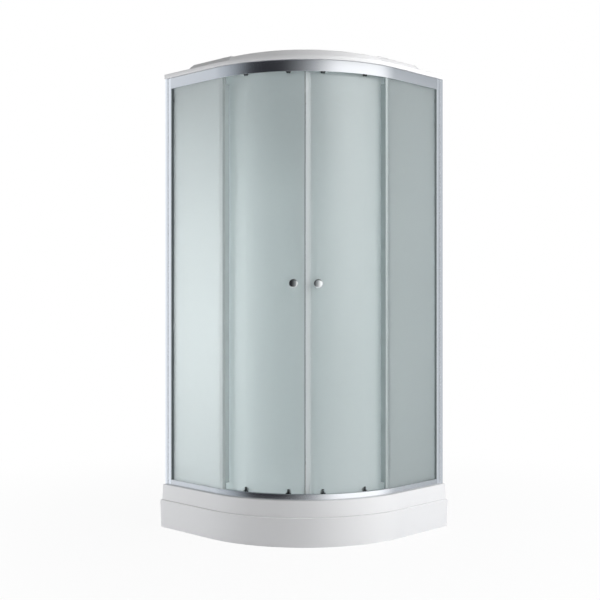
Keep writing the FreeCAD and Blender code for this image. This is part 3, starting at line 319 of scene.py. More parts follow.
def add_piece(name, shape, body, finish, *nodes, slot=None, sharp=SHARP):
    """Puts a shape into the scene with its finish, riding on a body. The argument slot is not used."""
    piece = bpy.data.objects.new(name, shape.mesh(name, sharp))
    bpy.context.scene.collection.objects.link(piece)
    piece.data.materials.append(FINISHES[finish])
    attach(piece, body)
    if nodes:
        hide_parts(*nodes)


def add_beside(side, name, shape, body, finish, node, slot=None):
    """The same for one of a pair: a shape made for the right, mirrored on the left."""
    if side == "left":
        shape.mirrored()
    add_piece(name + side, shape, body, finish, node + side, slot=slot)


def dress(finish, *nodes):
    """Gives kept construction nodes their finish."""
    for node in nodes:
        materials = frame["nodes"][node].data.materials
        materials.clear()
        materials.append(FINISHES[finish])


# ---- finishes ----

class Value:
    """A socket on which Python's operators build Math nodes."""

    def __init__(self, recipe, socket):
        self.recipe = recipe
        self.socket = socket

    def math(self, operation, first, second=0.0):
        inputs = {"Value": first, "Value_001": second}
        return self.recipe.add("ShaderNodeMath", {"operation": operation}, inputs)

    def __add__(self, other):
        return self.math("ADD", self, other)

    def __radd__(self, other):
        return self.math("ADD", other, self)

    def __sub__(self, other):
        return self.math("SUBTRACT", self, other)

    def __rsub__(self, other):
        return self.math("SUBTRACT", other, self)

    def __mul__(self, other):
        return self.math("MULTIPLY", self, other)

    def __rmul__(self, other):
        return self.math("MULTIPLY", other, self)

    def __truediv__(self, other):
        return self.math("DIVIDE", self, other)

    def __rtruediv__(self, other):
        return self.math("DIVIDE", other, self)

    def largest(self, other):
        return self.math("MAXIMUM", self, other)

    def turn_from(self, other):
        """Angle of the point (other, self)."""
        return self.math("ARCTAN2", self, other)


class Recipe:
    """The node tree of one finish, or of the world."""

    def __init__(self, owner):
        owner.use_nodes = True
        self.tree = owner.node_tree
        self.tree.nodes.clear()

    def add(self, kind, settings=None, inputs=None, output=0):
        """One node: its settings first, then the values or links of its sockets."""
        node = self.tree.nodes.new(kind)
        for name, value in (settings or {}).items():
            if name == "stops":
                self.set_stops(node.color_ramp, value)
            else:
                setattr(node, name, value)
        for name, value in (inputs or {}).items():
            socket = next(entry for entry in node.inputs if entry.identifier == name)
            if isinstance(value, Value):
                self.tree.links.new(value.socket, socket)
            else:
                socket.default_value = value
        if isinstance(output, str):
            return Value(self, next(entry for entry in node.outputs if entry.identifier == output))
        return Value(self, node.outputs[output]) if node.outputs else None

    def set_stops(self, ramp, stops):
        while len(ramp.elements) < len(stops):
            ramp.elements.new(1.0)
        for element, (place, colour) in zip(ramp.elements, stops):
            element.position = place
            element.color = (*colour, 1)

    def place(self):
        """The point on the surface, in the object's own frame."""
        return self.add("ShaderNodeTexCoord", output="Object")

    def axis(self, vector, name):
        return self.add("ShaderNodeSeparateXYZ", inputs={"Vector": vector}, output=name)

    def stretched(self, vector, scale):
        """A vector or colour multiplied in each part."""
        settings = {"operation": "MULTIPLY"}
        return self.add("ShaderNodeVectorMath", settings, {"Vector": vector, "Vector_001": scale})

    def noise(self, vector, scale, detail=2.0, roughness=0.5):
        """Cloudy noise with about scale patches to a metre."""
        inputs = {"Vector": vector, "Scale": scale, "Detail": detail, "Roughness": roughness}
        return self.add("ShaderNodeTexNoise", inputs=inputs)

    def between(self, factor, first, second):
        """A colour between two, by a factor."""
        settings = {"data_type": "RGBA", "clamp_factor": True}
        inputs = {"Factor_Float": factor, "A_Color": first, "B_Color": second}
        return self.add("ShaderNodeMix", settings, inputs, "Result_Color")

    def toned(self, factor, colour, dark, light):
        """A colour that changes from darker to lighter, by a factor."""
        return self.between(factor, shade(colour, dark), shade(colour, light))

    def bump(self, height, strength, distance):
        inputs = {"Height": height, "Strength": strength, "Distance": distance}
        return self.add("ShaderNodeBump", inputs=inputs)

    def principled(self, inputs):
        return self.add("ShaderNodeBsdfPrincipled", inputs=inputs)

    def mixed(self, factor, first, second):
        """One shader or the other, by a factor."""
        inputs = {"Fac": factor, "Shader": first, "Shader_001": second}
        return self.add("ShaderNodeMixShader", inputs=inputs)

    def ray(self, kind):
        return self.add("ShaderNodeLightPath", output=f"Is {kind} Ray")

    def finish(self, shader, kind="ShaderNodeOutputMaterial"):
        """Ends the tree with a shader."""
        self.add(kind, inputs={"Surface": shader})


def shade(colour, factor):
    """A colour made darker or lighter, as four numbers."""
    return (*[min(channel * factor, 1.0) for channel in colour], 1.0)


FINISHES = {}


def new_finish(name):
    """An empty finish, kept under its name."""
    FINISHES[name] = bpy.data.materials.new(name)
    return Recipe(FINISHES[name])


def white_acrylic(settings):
    """Gloss sheet that was drawn over a mould: faint orange peel and wiped patches."""
    recipe = new_finish("white_acrylic")
    place = recipe.place()
    tone = recipe.noise(place, 2.2, 3.0)
    wiped = recipe.noise(place, 9.0, 4.0, 0.6)
    peel = recipe.noise(place, 140.0)
    recipe.finish(recipe.principled({
        "Base Color": recipe.toned(tone, settings.acrylic, 0.985, 1.01),
        "Roughness": 0.10 + wiped * 0.14,
        "Coat Weight": 0.5,
        "Coat Roughness": 0.06,
        "Normal": recipe.bump(peel, 0.05, 0.0006)}))


def white_panel(settings):
    """Satin wall sheet with a fine even grain."""
    recipe = new_finish("white_panel")
    place = recipe.place()
    tone = recipe.noise(place, 1.6, 3.0)
    grain = recipe.noise(place, 420.0)
    recipe.finish(recipe.principled({
        "Base Color": recipe.toned(tone, settings.panel, 0.97, 1.0),
        "Roughness": 0.34 + tone * 0.1,
        "Normal": recipe.bump(grain, 0.08, 0.0004)}))


def aluminium(name, settings, streaks, light):
    """Satin extrusion; streaks stretches the noise so that its lines run along the profile. light scales the
    colour; above 1 it is painted light, a lighter copy of the same metal.
    """
    recipe = new_finish(name)
    place = recipe.place()
    lines = recipe.noise(recipe.stretched(place, streaks), 1.0, 3.0, 0.7)
    cloud = recipe.noise(place, 5.0, 3.0)
    recipe.finish(recipe.principled({
        "Base Color": recipe.toned(lines * 0.3 + cloud * 0.7, settings.aluminium, light * 0.97, light * 1.02),
        "Metallic": 1.0,
        "Roughness": 0.21 + lines * 0.02 + cloud * 0.06,
        "Normal": recipe.bump(lines, 0.004, 0.0003)}))


def frosted_glass(name, settings, light):
    """Acid-etched pane: soft, faintly green, with a fine tooth and a slow cloudiness. light scales the colour;
    below 1 it is painted shade, a darker copy of the same glass.
    """
    recipe = new_finish(name)
    place = recipe.place()
    cloud = recipe.noise(place, 2.4, 3.0)
    tooth = recipe.noise(place, 900.0, 2.0, 0.6)
    pane = recipe.principled({
        "Base Color": recipe.toned(cloud, settings.tint, light * 0.97, light),
        "Roughness": settings.frost + cloud * 0.06,
        "IOR": 1.5,
        "Transmission Weight": settings.clearness,
        "Coat Weight": settings.sheen + cloud * 0.1,
        "Coat Roughness": 0.2,
        "Normal": recipe.bump(tooth, 0.12, 0.0004)})
    passed = {"Color": shade(settings.tint, settings.lamp_light)}
    lamps = recipe.add("ShaderNodeBsdfTransparent", inputs=passed)
    recipe.finish(recipe.mixed(recipe.ray("Shadow"), pane, lamps))


def milky_seal(name, colour, cover):
    """Soft extruded strip, partly see-through, with faint lines along its length."""
    recipe = new_finish(name)
    place = recipe.place()
    lines = recipe.noise(recipe.stretched(place, (700.0, 700.0, 2.0)), 1.0)
    cloud = recipe.noise(place, 9.0)
    recipe.finish(recipe.principled({
        "Base Color": recipe.toned(lines * 0.4 + cloud * 0.6, colour, 0.95, 1.03),
        "Roughness": 0.36 + cloud * 0.1,
        "Alpha": cover + cloud * 0.04,
        "Normal": recipe.bump(cloud, 0.05, 0.0005)}))


def dull(name, colour, roughness, grain_scale, grain_depth):
    """Rubber or moulded plastic with a fine grain and rubbed patches."""
    recipe = new_finish(name)
    place = recipe.place()
    grain = recipe.noise(place, grain_scale, 3.0, 0.6)
    rubbed = recipe.noise(place, 22.0, 4.0, 0.6)
    recipe.finish(recipe.principled({
        "Base Color": recipe.toned(rubbed, colour, 0.82, 1.18),
        "Roughness": roughness - 0.08 + rubbed * 0.16,
        "Normal": recipe.bump(grain, 0.25, grain_depth)}))


def bright_metal(name, colour, roughness, wipe):
    """Plated metal with faint wipe marks."""
    recipe = new_finish(name)
    place = recipe.place()
    marks = recipe.noise(recipe.stretched(place, (60.0, 60.0, 14.0)), 1.0, 4.0, 0.7)
    fine = recipe.noise(place, 600.0)
    recipe.finish(recipe.principled({
        "Base Color": recipe.toned(marks, colour, 0.95, 1.03),
        "Metallic": 1.0,
        "Roughness": roughness + marks * wipe,
        "Normal": recipe.bump(fine, 0.03, 0.0001)}))


def painted_steel(name, colour):
    """Powder coat with a pebbled surface."""
    recipe = new_finish(name)
    place = recipe.place()
    pebbles = recipe.noise(place, 520.0)
    cloud = recipe.noise(place, 12.0, 3.0)
    recipe.finish(recipe.principled({
        "Base Color": recipe.toned(cloud, colour, 0.94, 1.05),
        "Roughness": 0.42 + cloud * 0.12,
        "Normal": recipe.bump(pebbles, 0.3, 0.0004)}))


def mix_finishes(colours, glass):
    """Makes every finish once."""
    white_acrylic(colours)
    white_panel(colours)
    aluminium("rail_aluminium", colours, (3.0, 3.0, 1400.0), 1.0)
    # The posts take a lighter copy of the rails' aluminium: painted light.
    aluminium("post_aluminium", colours, (1400.0, 1400.0, 3.0), 1.24)
    frosted_glass("frosted_glass", glass, 1.0)
    # The flat panes take a darker copy of the same glass: painted shade.
    frosted_glass("flat_glass", glass, glass.flat_pane_painted_shade)
    milky_seal("clear_seal", (0.56, 0.62, 0.625), 0.6)
    milky_seal("magnet_seal", (0.86, 0.92, 0.93), 0.93)
    dull("dark_rubber", (0.14, 0.165, 0.17), 0.6, 700.0, 0.0003)
    dull("dark_plastic", (0.035, 0.038, 0.04), 0.42, 500.0, 0.0002)
    dull("wheel_plastic", (0.80, 0.80, 0.78), 0.4, 500.0, 0.0002)
    dull("pipe_plastic", (0.75, 0.75, 0.74), 0.42, 300.0, 0.0003)
    bright_metal("dark_steel", (0.17, 0.18, 0.19), 0.34, 0.14)
    bright_metal("chrome", (0.74, 0.755, 0.76), 0.05, 0.06)
    bright_metal("steel", (0.60, 0.61, 0.62), 0.24, 0.14)
    painted_steel("painted_steel", (0.50, 0.51, 0.52))


# ---- settings ----

def number(name, value, description, **more):
    return FloatProperty(name=name, description=description, default=value, **more)


def metres(name, value, description):
    return number(name, value, description, unit="LENGTH")


def length(name, value, description):
    """A length that is written in millimetres."""
    return metres(name, value * MM, description)


def fraction(name, value, description):
    """A number from none to all."""
    return number(name, value, description, min=0.0, max=1.0)


def paint(name, value, description):
    return FloatVectorProperty(name=name, description=description, default=value, subtype="COLOR")


class StageSettings(bpy.types.PropertyGroup):
    """Light and floor round the object."""
    floor_size: metres("Floor size", 40.0, "Side of the square floor")
    floor_colour: paint("Floor colour", (0.86, 0.87, 0.88), "Colour of the floor near the object")
    floor_fade: metres("Floor fade", 2.6, "Distance at which the floor has turned white")
    ambient: number("Ambient", 0.27, "Light from all round below")
    ceiling: number("Ceiling", 0.12, "Light from all round above")
    right_lamp: number("Right lamp", 75.0, "Power of the large right lamp, in watts")
    left_lamp: number("Left lamp", 58.0, "Power of the large left lamp, in watts")
    front_lamp: number("Front lamp", 46.0, "Power of the lamp in front, in watts")
    top_lamp: number("Top lamp", 30.0, "Power of the lamp over the roof, in watts")


class CameraSettings(bpy.types.PropertyGroup):
    """The view from the room."""
    place: FloatVectorProperty(
        name="Place", description="Where the camera stands", subtype="TRANSLATION", unit="LENGTH",
        default=(3.1967, -3.3050, 1.0051))
    bearing: FloatVectorProperty(
        name="Bearing", description="Level direction in which it looks", subtype="DIRECTION",
        default=(-0.69822, 0.71588, 0.0))
    roll: FloatProperty(name="Roll", description="Turn to the right", default=0.0, unit="ROTATION")
    lens: number("Lens", 62.336, "Focal length in millimetres")
    sensor: number("Sensor", 36.0, "Width of the sensor in millimetres")
    shift: number("Shift", -0.00106, "Upward shift of the picture, as a share of it")


class ColourSettings(bpy.types.PropertyGroup):
    """Main colours of the finishes."""
    acrylic: paint("Acrylic", (0.90, 0.90, 0.91), "Tray and roof")
    panel: paint("Panel", (0.86, 0.88, 0.88), "Rear wall sheets")
    aluminium: paint("Aluminium", (0.74, 0.76, 0.79), "Rails and posts")


class GlassSettings(bpy.types.PropertyGroup):
    """The etched panes."""
    tint: paint("Tint", (0.86, 0.91, 0.912), "Colour of the glass")
    frost: fraction("Frost", 0.5, "Roughness of the etched face")
    clearness: fraction("Clearness", 0.92, "Share of light that goes through")
    sheen: fraction("Sheen", 0.9, "Share of gloss on the panes")
    # Painted shade: share to which the flat panes' glass is darkened.
    flat_pane_painted_shade: fraction("Flat panes", 0.82, "Lightness of the flat panes beside the doors")
    lamp_light: fraction("Lamp light", 0.9, "How much lamp light passes to the inside")


class ProfileSettings(bpy.types.PropertyGroup):
    """Rails and posts."""
    wall: length("Rail wall", 2.0, "Thickness of the rails")
    edge: length("Edge", 0.7, "Rounding of extruded edges")
    swell: length("Swell", 0.5, "How far the rails' faces bulge")
    depth: length("Depth", 36, "Depth of rails and posts")
    slot: length("Slot", 14, "Depth at which the glass slot ends")
    slot_wall: length("Slot wall", 1.5, "Thickness of the slot's rear wall")
    lip: length("Lip", 26, "Depth at which the running lip ends")
    lip_rim: length("Lip rim", 1.5, "Thickness of the running lip's rim")
    post_wall: length("Post wall", 1.6, "Thickness of the posts")
    post_swell: length("Post swell", 0.15, "How far the posts' faces bulge")
    rear_fin: length("Rear fin", 6.1, "Distance of the first panel fin from the wall")
    fin: length("Fin", 1.5, "Thickness of the panel fins")
    fin_step: length("Fin step", 6.3, "From one panel fin to the other")
    fin_reach: length("Fin reach", 14, "How far the panel fins reach behind the post")
    pocket: length("Pocket", 14, "Depth of the pane's pocket")
    fit: length("Fit", 0.3, "Gap beside glass")


class SealSettings(bpy.types.PropertyGroup):
    """Strips on the panes' edges."""
    wall: length("Seal wall", 1.2, "Thickness of the strips")
    fit: length("Fit", 0.15, "Gap beside the glass")
    margin: length("Fin margin", 26, "How much shorter the fins are at each end")
    magnet: length("Magnet", 3.4, "Width of the dark magnet in the narrow strip")
    cover: length("Cover", 0.05, "Thickness of the strip over the magnet")
    ridge: length("Ridge", 0.5, "Height of the raised lines where the doors meet")


class KnobSettings(bpy.types.PropertyGroup):
    """The turned knobs."""
    angle: number("Angle", 5.5, "Place of each knob from the doors' meeting line, in degrees")
    radius: length("Radius", 18, "Radius of the head")
    length: length("Length", 28, "From the glass to the front")
    head: length("Head", 9, "Thickness of the head")
    neck: length("Neck", 6.5, "Radius of the neck")
    base: length("Base", 9.5, "Radius of the base")
    base_thick: length("Base thickness", 3, "Thickness of the base")
    stud: length("Stud", 4, "Radius of the stud")
    stud_reach: length("Stud reach", 14, "How far the stud reaches behind the glass")
    gap: length("Gap", 0.3, "Gap between knob and glass")
    soft: length("Soft", 3, "Rounding of the head")
    swell: length("Swell", 2.0, "How far the front bulges")


class HangerSettings(bpy.types.PropertyGroup):
    """Plates that hang the doors on the upper wheels."""
    lead: number("Lead", 8.0, "Angle of the plate near the meeting line")
    trail: number("Trail", 29.0, "Angle of the plate near the door's rear edge")
    depth: length("Depth", 26.5, "Depth behind the rails' face")
    thick: length("Thickness", 3, "Thickness of the plates")
    width: length("Width", 20, "Width of the plates")
    tongue: length("Tongue", 9, "Width below the rail")
    lift: length("Lift", 8.5, "How much shorter the tongue is than its room")
    soft: length("Soft", 3, "Rounding of the plates' corners")
    edge: length("Edge", 0.4, "Rounding of the plates' edges")
    pin: length("Pin", 2.5, "Radius of the axles")
    head: length("Head", 4, "Radius of the axles' heads")
    head_thick: length("Head thickness", 1.2, "Thickness of the axles' heads")


class TraySettings(bpy.types.PropertyGroup):
    """The moulded tray and its front panel."""
    wall: length("Wall", 4, "Thickness of the acrylic")
    floor_wall: length("Floor wall", 5, "Thickness of the floor")
    land: length("Land", 12, "Rim that shows in front of the rail")
    rim_round: length("Rim rounding", 3, "Rounding of the rim")
    bowl_inset: length("Bowl inset", 60, "From the rails' face to the bowl")
    bowl_wall_inset: length("Bowl wall inset", 64, "From the walls to the bowl")
    bowl_draft: length("Bowl draft", 22, "How far the bowl narrows")
    bowl_corner: length("Bowl corner", 45, "Corner radius of the bowl")
    bowl_round: length("Bowl rounding", 6, "Rounding of the bowl's top edge")
    floor_round: length("Floor rounding", 12, "Rounding where the bowl meets its floor")
    fall: length("Fall", 2, "How far the floor falls to the waste")
    drain_side: length("Waste place", 270, "Distance of the waste from both walls")
    drain_radius: length("Waste radius", 44.6, "Radius of the waste hole")
    lean: length("Lean", 6, "How far the apron leans out")
    apron_round: length("Apron rounding", 6, "Rounding of the apron's top edge")
    flange: length("Flange", 3, "Thickness of the apron's flange and foot")
    flange_inset: length("Flange inset", 16, "How far the flange reaches under the skirt")
    foot: length("Foot", 24, "Depth of the apron's foot")


class RoofSettings(bpy.types.PropertyGroup):
    """The moulded roof."""
    wall: length("Wall", 4, "Thickness of the roof")
    deck: length("Deck", 16, "Height of the flat top above the rail")
    seat: length("Seat", 34, "Width on which the roof lies, from the frame's face")
    overhang: length("Overhang", 5, "How far the roof stands out past the rail")
    edge: length("Edge", 3, "Rounding of the deck's front edge")
    soft: length("Soft", 4, "Rounding of the raised parts")
    crown_rise: length("Crown rise", 20, "Height of the crown above the deck")
    crown_angle: number("Crown angle", 35.8, "Half of the angle over which the crown runs, in degrees")
    crown_arch: metres("Crown arch", 5.2, "Radius of the crown's top line")
    crown_width: length("Crown width", 85, "Depth of the crown from the roof's edge")
    crown_lean: number("Crown lean", 0.2, "Lean of the crown's front, as a slope")
    hump_rise: length("Hump rise", 26, "Height of the humps above the deck")
    hump_start: length("Hump start", 106, "Distance of the humps from the walls")
    hump_end: length("Hump end", 404, "Where the humps end beside the crown")
    hump_inset: length("Hump inset", 27, "From the roof's edge to the humps")
    hump_width: length("Hump width", 95, "Width of the humps")
    hump_slope: length("Hump slope", 42, "Length of the humps' ramp")
    hump_draft: length("Hump draft", 14, "How far the humps' sides lean")
    hump_groove: length("Hump groove", 6, "How far the humps' ends lean")
    end_lean: number("End lean", 0.12, "Lean of the crown's ends, as a slope")
    dome_inset: length("Dome inset", 158, "From the walls to the dome")
    dome_rise: length("Dome rise", 15, "Height of the dome above the deck")
    dome_draft: length("Dome draft", 32, "Width of the dome's slope")
    dome_corner: length("Dome corner", 45, "Corner radius of the dome")


# ---- stage ----

# Lamps round the object: angle, height, distance, size, and whether the glass shows them
LAMPS = {
    "right_lamp": (72, 2.1, 3.4, (2.4, 2.6), False),
    "left_lamp": (-80, 0.75, 3.4, (2.2, 2.0), True),
    "front_lamp": (40, 2.4, 3.8, (1.8, 2.2), True),
    "top_lamp": (180, 4.6, 0.5, (1.4, 1.4), False)}
TOP_LAMP_AIM = polar(180, 0.2, ROOF_TOP)

# Brightness that gloss picks up, by angle round the object, as a share of STUDIO_PEAK
STUDIO_PEAK = 1.4
STUDIO = [
    (-180, (0.60, 0.62, 0.64)), (-130, (0.78, 0.80, 0.82)), (-101, (0.78, 0.80, 0.82)),
    (-94, (0.48, 0.50, 0.53)), (-80, (0.40, 0.43, 0.46)), (-66, (0.22, 0.24, 0.26)),
    (-52, (0.02, 0.02, 0.024)), (-20, (0.02, 0.02, 0.024)), (-6, (0.12, 0.125, 0.13)),
    (10, (0.34, 0.35, 0.36)), (30, (0.96, 0.96, 0.96)), (78, (1.0, 1.0, 1.0)),
    (90, (0.50, 0.52, 0.54)), (101, (0.28, 0.30, 0.32)), (130, (0.42, 0.44, 0.46)),
    (180, (0.60, 0.62, 0.64))]
FLOOR_NEAR = 0.7  # distance from which the floor starts to turn white
FLOOR_WHITE = 0.93  # share of plain white that it has up to there
STUDIO_CEILING = (0.08, 0.085, 0.09, 1)
STUDIO_FLOOR = (0.92, 0.94, 0.96, 1)
WHITE = (1, 1, 1, 1)


def add_lamp(name, power, aim, angle, height, distance, size, through):
    """A soft rectangular lamp round the object."""
    lamp = bpy.data.lights.new(name, "AREA")
    lamp.shape = "RECTANGLE"
    lamp.size, lamp.size_y = size
    lamp.energy = power
    thing = bpy.data.objects.new(name, lamp)
    thing.location = polar(angle, distance, height)
    thing.rotation_euler = (aim - thing.location).to_track_quat("-Z", "Y").to_euler()
    thing.visible_glossy = False
    thing.visible_camera = False
    thing.visible_transmission = through
    bpy.context.scene.collection.objects.link(thing)


def room_light(settings):
    """White for the camera, a soft studio round the object for gloss, and a plain level for the rest."""
    world = bpy.data.worlds.new("studio")
    bpy.context.scene.world = world
    recipe = Recipe(world)
    way = recipe.add("ShaderNodeTexCoord", output="Generated")

    def towards(angle):
        inputs = {"Vector": way, "Vector_001": outward(angle)}
        return recipe.add("ShaderNodeVectorMath", {"operation": "DOT_PRODUCT"}, inputs, "Value")

    def risen(value, low, high):
        inputs = {"Value": value, "From Min": low, "From Max": high}
        return recipe.add("ShaderNodeMapRange", inputs=inputs)

    turn = towards(90).turn_from(towards(0)) / math.tau + 0.5
    stops = [(angle / 360 + 0.5, colour) for angle, colour in STUDIO]
    round_wall = recipe.add("ShaderNodeValToRGB", {"stops": stops}, {"Fac": turn})
    walls = recipe.stretched(round_wall, (STUDIO_PEAK,) * 3)
    height = recipe.axis(way, "Z")
    studio = recipe.between(
        risen(height, 0.3, 0.55), recipe.between(risen(height * -1, 0.3, 0.7), walls, STUDIO_FLOOR),
        STUDIO_CEILING)
    plain = recipe.between(
        risen(height, -0.5, 0.5), (settings.ambient,) * 3 + (1,), (settings.ceiling,) * 3 + (1,))
    colour = recipe.between(recipe.ray("Glossy"), plain, studio)
    seen = recipe.between(recipe.ray("Camera").largest(recipe.ray("Transmission")), colour, WHITE)
    recipe.finish(recipe.add("ShaderNodeBackground", inputs={"Color": seen}), "ShaderNodeOutputWorld")


def floor_finish(settings):
    """Pale ground that turns to plain white away from the object and keeps a faint shadow."""
    recipe = new_finish("floor")
    place = recipe.place()
    away = recipe.add("ShaderNodeVectorMath", {"operation": "LENGTH"}, {"Vector": place}, "Value")
    far = recipe.add("ShaderNodeMapRange", {"interpolation_type": "SMOOTHSTEP"}, {
        "Value": away, "From Min": FLOOR_NEAR, "From Max": settings.floor_fade, "To Min": FLOOR_WHITE})
    ground = recipe.principled({
        "Base Color": recipe.toned(recipe.noise(place, 60.0, 3.0), settings.floor_colour, 0.99, 1.0),
        "Roughness": 0.6})
    white = recipe.add("ShaderNodeEmission", inputs={"Color": WHITE, "Strength": 1.0})
    recipe.finish(recipe.mixed(recipe.ray("Camera") * far, ground, white))


class ENCLOSURE_OT_stage(bpy.types.Operator):
    """Adds the floor, the lamps and the world"""
    bl_idname = "enclosure.stage"
    bl_label = "Stage"

    def execute(self, context):
        settings = context.scene.enclosure_stage
        half = settings.floor_size / 2
        mesh = bpy.data.meshes.new("floor")
        level = WHOLE[0].z
        corners = [(-half, -half, level), (half, -half, level), (half, half, level), (-half, half, level)]
        mesh.from_pydata(corners, [], [(0, 1, 2, 3)])
        floor = bpy.data.objects.new("floor", mesh)
        context.scene.collection.objects.link(floor)
        floor_finish(settings)
        mesh.materials.append(FINISHES["floor"])
        floor.visible_glossy = False
        middle = (WHOLE[0] + WHOLE[1]) / 2
        for name, lamp in LAMPS.items():
            add_lamp(name, getattr(settings, name), TOP_LAMP_AIM if name == "top_lamp" else middle, *lamp)
        room_light(settings)
        context.scene.view_settings.view_transform = "Standard"
        return {"FINISHED"}


class ENCLOSURE_OT_camera(bpy.types.Operator):
    """Adds the camera at the viewing angle"""
    bl_idname = "enclosure.camera"
    bl_label = "Camera"

    def execute(self, context):
        settings = context.scene.enclosure_camera
        camera = bpy.data.cameras.new("camera")
        camera.lens = settings.lens
        camera.sensor_width = settings.sensor
        camera.shift_y = settings.shift
        thing = bpy.data.objects.new("camera", camera)
        ahead = Vector(settings.bearing).normalized()
        level = ahead.cross(UP)
        right = level * math.cos(settings.roll) - UP * math.sin(settings.roll)
        turn = Matrix((right, right.cross(ahead), -ahead)).transposed()
        thing.matrix_world = Matrix.Translation(Vector(settings.place)) @ turn.to_4x4()
        context.scene.collection.objects.link(thing)
        context.scene.camera = thing
        return {"FINISHED"}


class ENCLOSURE_OT_finishes(bpy.types.Operator):
    """Mixes every finish of the enclosure"""
    bl_idname = "enclosure.finishes"
    bl_label = "Finishes"

    def execute(self, context):
        mix_finishes(context.scene.enclosure_colours, context.scene.enclosure_glass)
        for entry in frame["record"]["subparts"]:
            slot = entry["material_slot"]
            # Kept aluminium nodes take the posts' lighter copy, which is painted light.
            dress("post_aluminium" if slot == "aluminium" else slot, entry["node"])
        dress("dark_steel", "frame_screws", "lower_roller_bolts_right", "lower_roller_bolts_left")
        # The flat panes get the darker copy of the glass: painted shade.
        dress("flat_glass", "fixed_glass_right", "fixed_glass_left")
        return {"FINISHED"}


# ---- rails and posts ----

def bulged(face, first, last, swell, edge, steps):
    """Corners from first to last along a face that lies swell lower at both ends than in its middle."""
    corners = []
    for step, share in enumerate(shares(steps)):
        soft = edge if step in (0, steps) else 0
        corners.append((face - swell * (2 * share - 1) ** 2, first + (last - first) * share, soft))
    return corners


class ENCLOSURE_OT_rails(bpy.types.Operator):
    """Adds the two curved rails with their glass slot and running lip"""
    bl_idname = "enclosure.rails"
    bl_label = "Rails"

    def execute(self, context):
        sizes = context.scene.enclosure_profiles
        self.lower_rail(sizes, *self.reaches(sizes))
        self.upper_rail(sizes, *self.reaches(sizes))
        return {"FINISHED"}

    def reaches(self, sizes):
        """Of the slot, the back and middle of its rear wall, and the lip's end and inner rim."""
        slot, lip = RAIL - sizes.slot, RAIL - sizes.lip
        behind = slot - sizes.slot_wall
        return slot, behind, behind + sizes.slot_wall / 2, lip, lip + sizes.lip_rim

    def lower_rail(self, sizes, slot, behind, wall_reach, lip, rim):
        wall, edge = sizes.wall, sizes.edge
        floor, low = RIM_TOP + wall, LOWER_LIP_TOP - wall
        face = bulged(RAIL, RIM_TOP, LOWER_RAIL_TOP, sizes.swell, edge, RAIL_FACE_STEPS)
        self.add("lower_rail", face + [
            (RAIL - wall, LOWER_RAIL_TOP, edge), (RAIL - wall, floor, edge), (slot, floor, edge),
            (slot, LOWER_LIP_TOP, edge), (behind, LOWER_LIP_TOP, 0), (behind, RIM_TOP, 0)
        ], wall_reach, [
            (wall_reach, low, 0), (wall_reach, LOWER_LIP_TOP, 0), (lip, LOWER_LIP_TOP, edge),
            (lip, low - sizes.lip_rim, edge), (rim, low - sizes.lip_rim, edge), (rim, low, edge)])

    def upper_rail(self, sizes, slot, behind, wall_reach, lip, rim):
        wall, edge, back = sizes.wall, sizes.edge, RAIL - sizes.depth
        low, under, high = UPPER_LIP_TOP - wall, UPPER_RAIL_TOP - wall, UPPER_LIP_TOP + sizes.lip_rim
        face = bulged(RAIL, UPPER_RAIL_BOTTOM, UPPER_RAIL_TOP, 2 * sizes.swell, edge, RAIL_FACE_STEPS)
        self.add("upper_rail", face + [
            (back, UPPER_RAIL_TOP, edge), (back, under, edge), (behind, under, edge), (behind, low, 0),
            (slot, low, edge), (slot, under, edge), (RAIL - wall, under, edge),
            (RAIL - wall, UPPER_RAIL_BOTTOM, edge)
        ], wall_reach, [
            (wall_reach, low, 0), (wall_reach, UPPER_LIP_TOP, 0), (rim, UPPER_LIP_TOP, edge),
            (rim, high, edge), (lip, high, edge), (lip, low, edge)])

    def add(self, node, section, wall_reach, lip_section):
        shape = Shape().sweep(rounded(section), front_path(POST_WIDTH))
        self.running_lip(shape, wall_reach, rounded(lip_section))
        add_piece("curved_" + node, shape, "root", "rail_aluminium", node, slot="aluminium")

    def running_lip(self, shape, wall_reach, section):
        """The lip that the wheels run on: round the arc, and on past it behind each flat."""
        shape.sweep(section, arc_path())
        for side in SIDES.values():
            rings = []
            for share in shares(LIP_STEPS):
                past = (LIP_END - ARC_END) * share
                flat = wall_reach / math.cos(math.radians(past))
                rings.append([
                    polar(side * (ARC_END + past), flat if reach > wall_reach - TINY else reach, z)
                    for reach, z in section])
            shape.rings(rings)


def post_outline(corners):
    """Points given as (depth behind the rails' face, distance from the wall, rounding)."""
    return rounded([(FLAT + RAIL - depth, along, soft) for depth, along, soft in corners])


BEAD_CREST = 0.55  # share of the bead's width that is full height


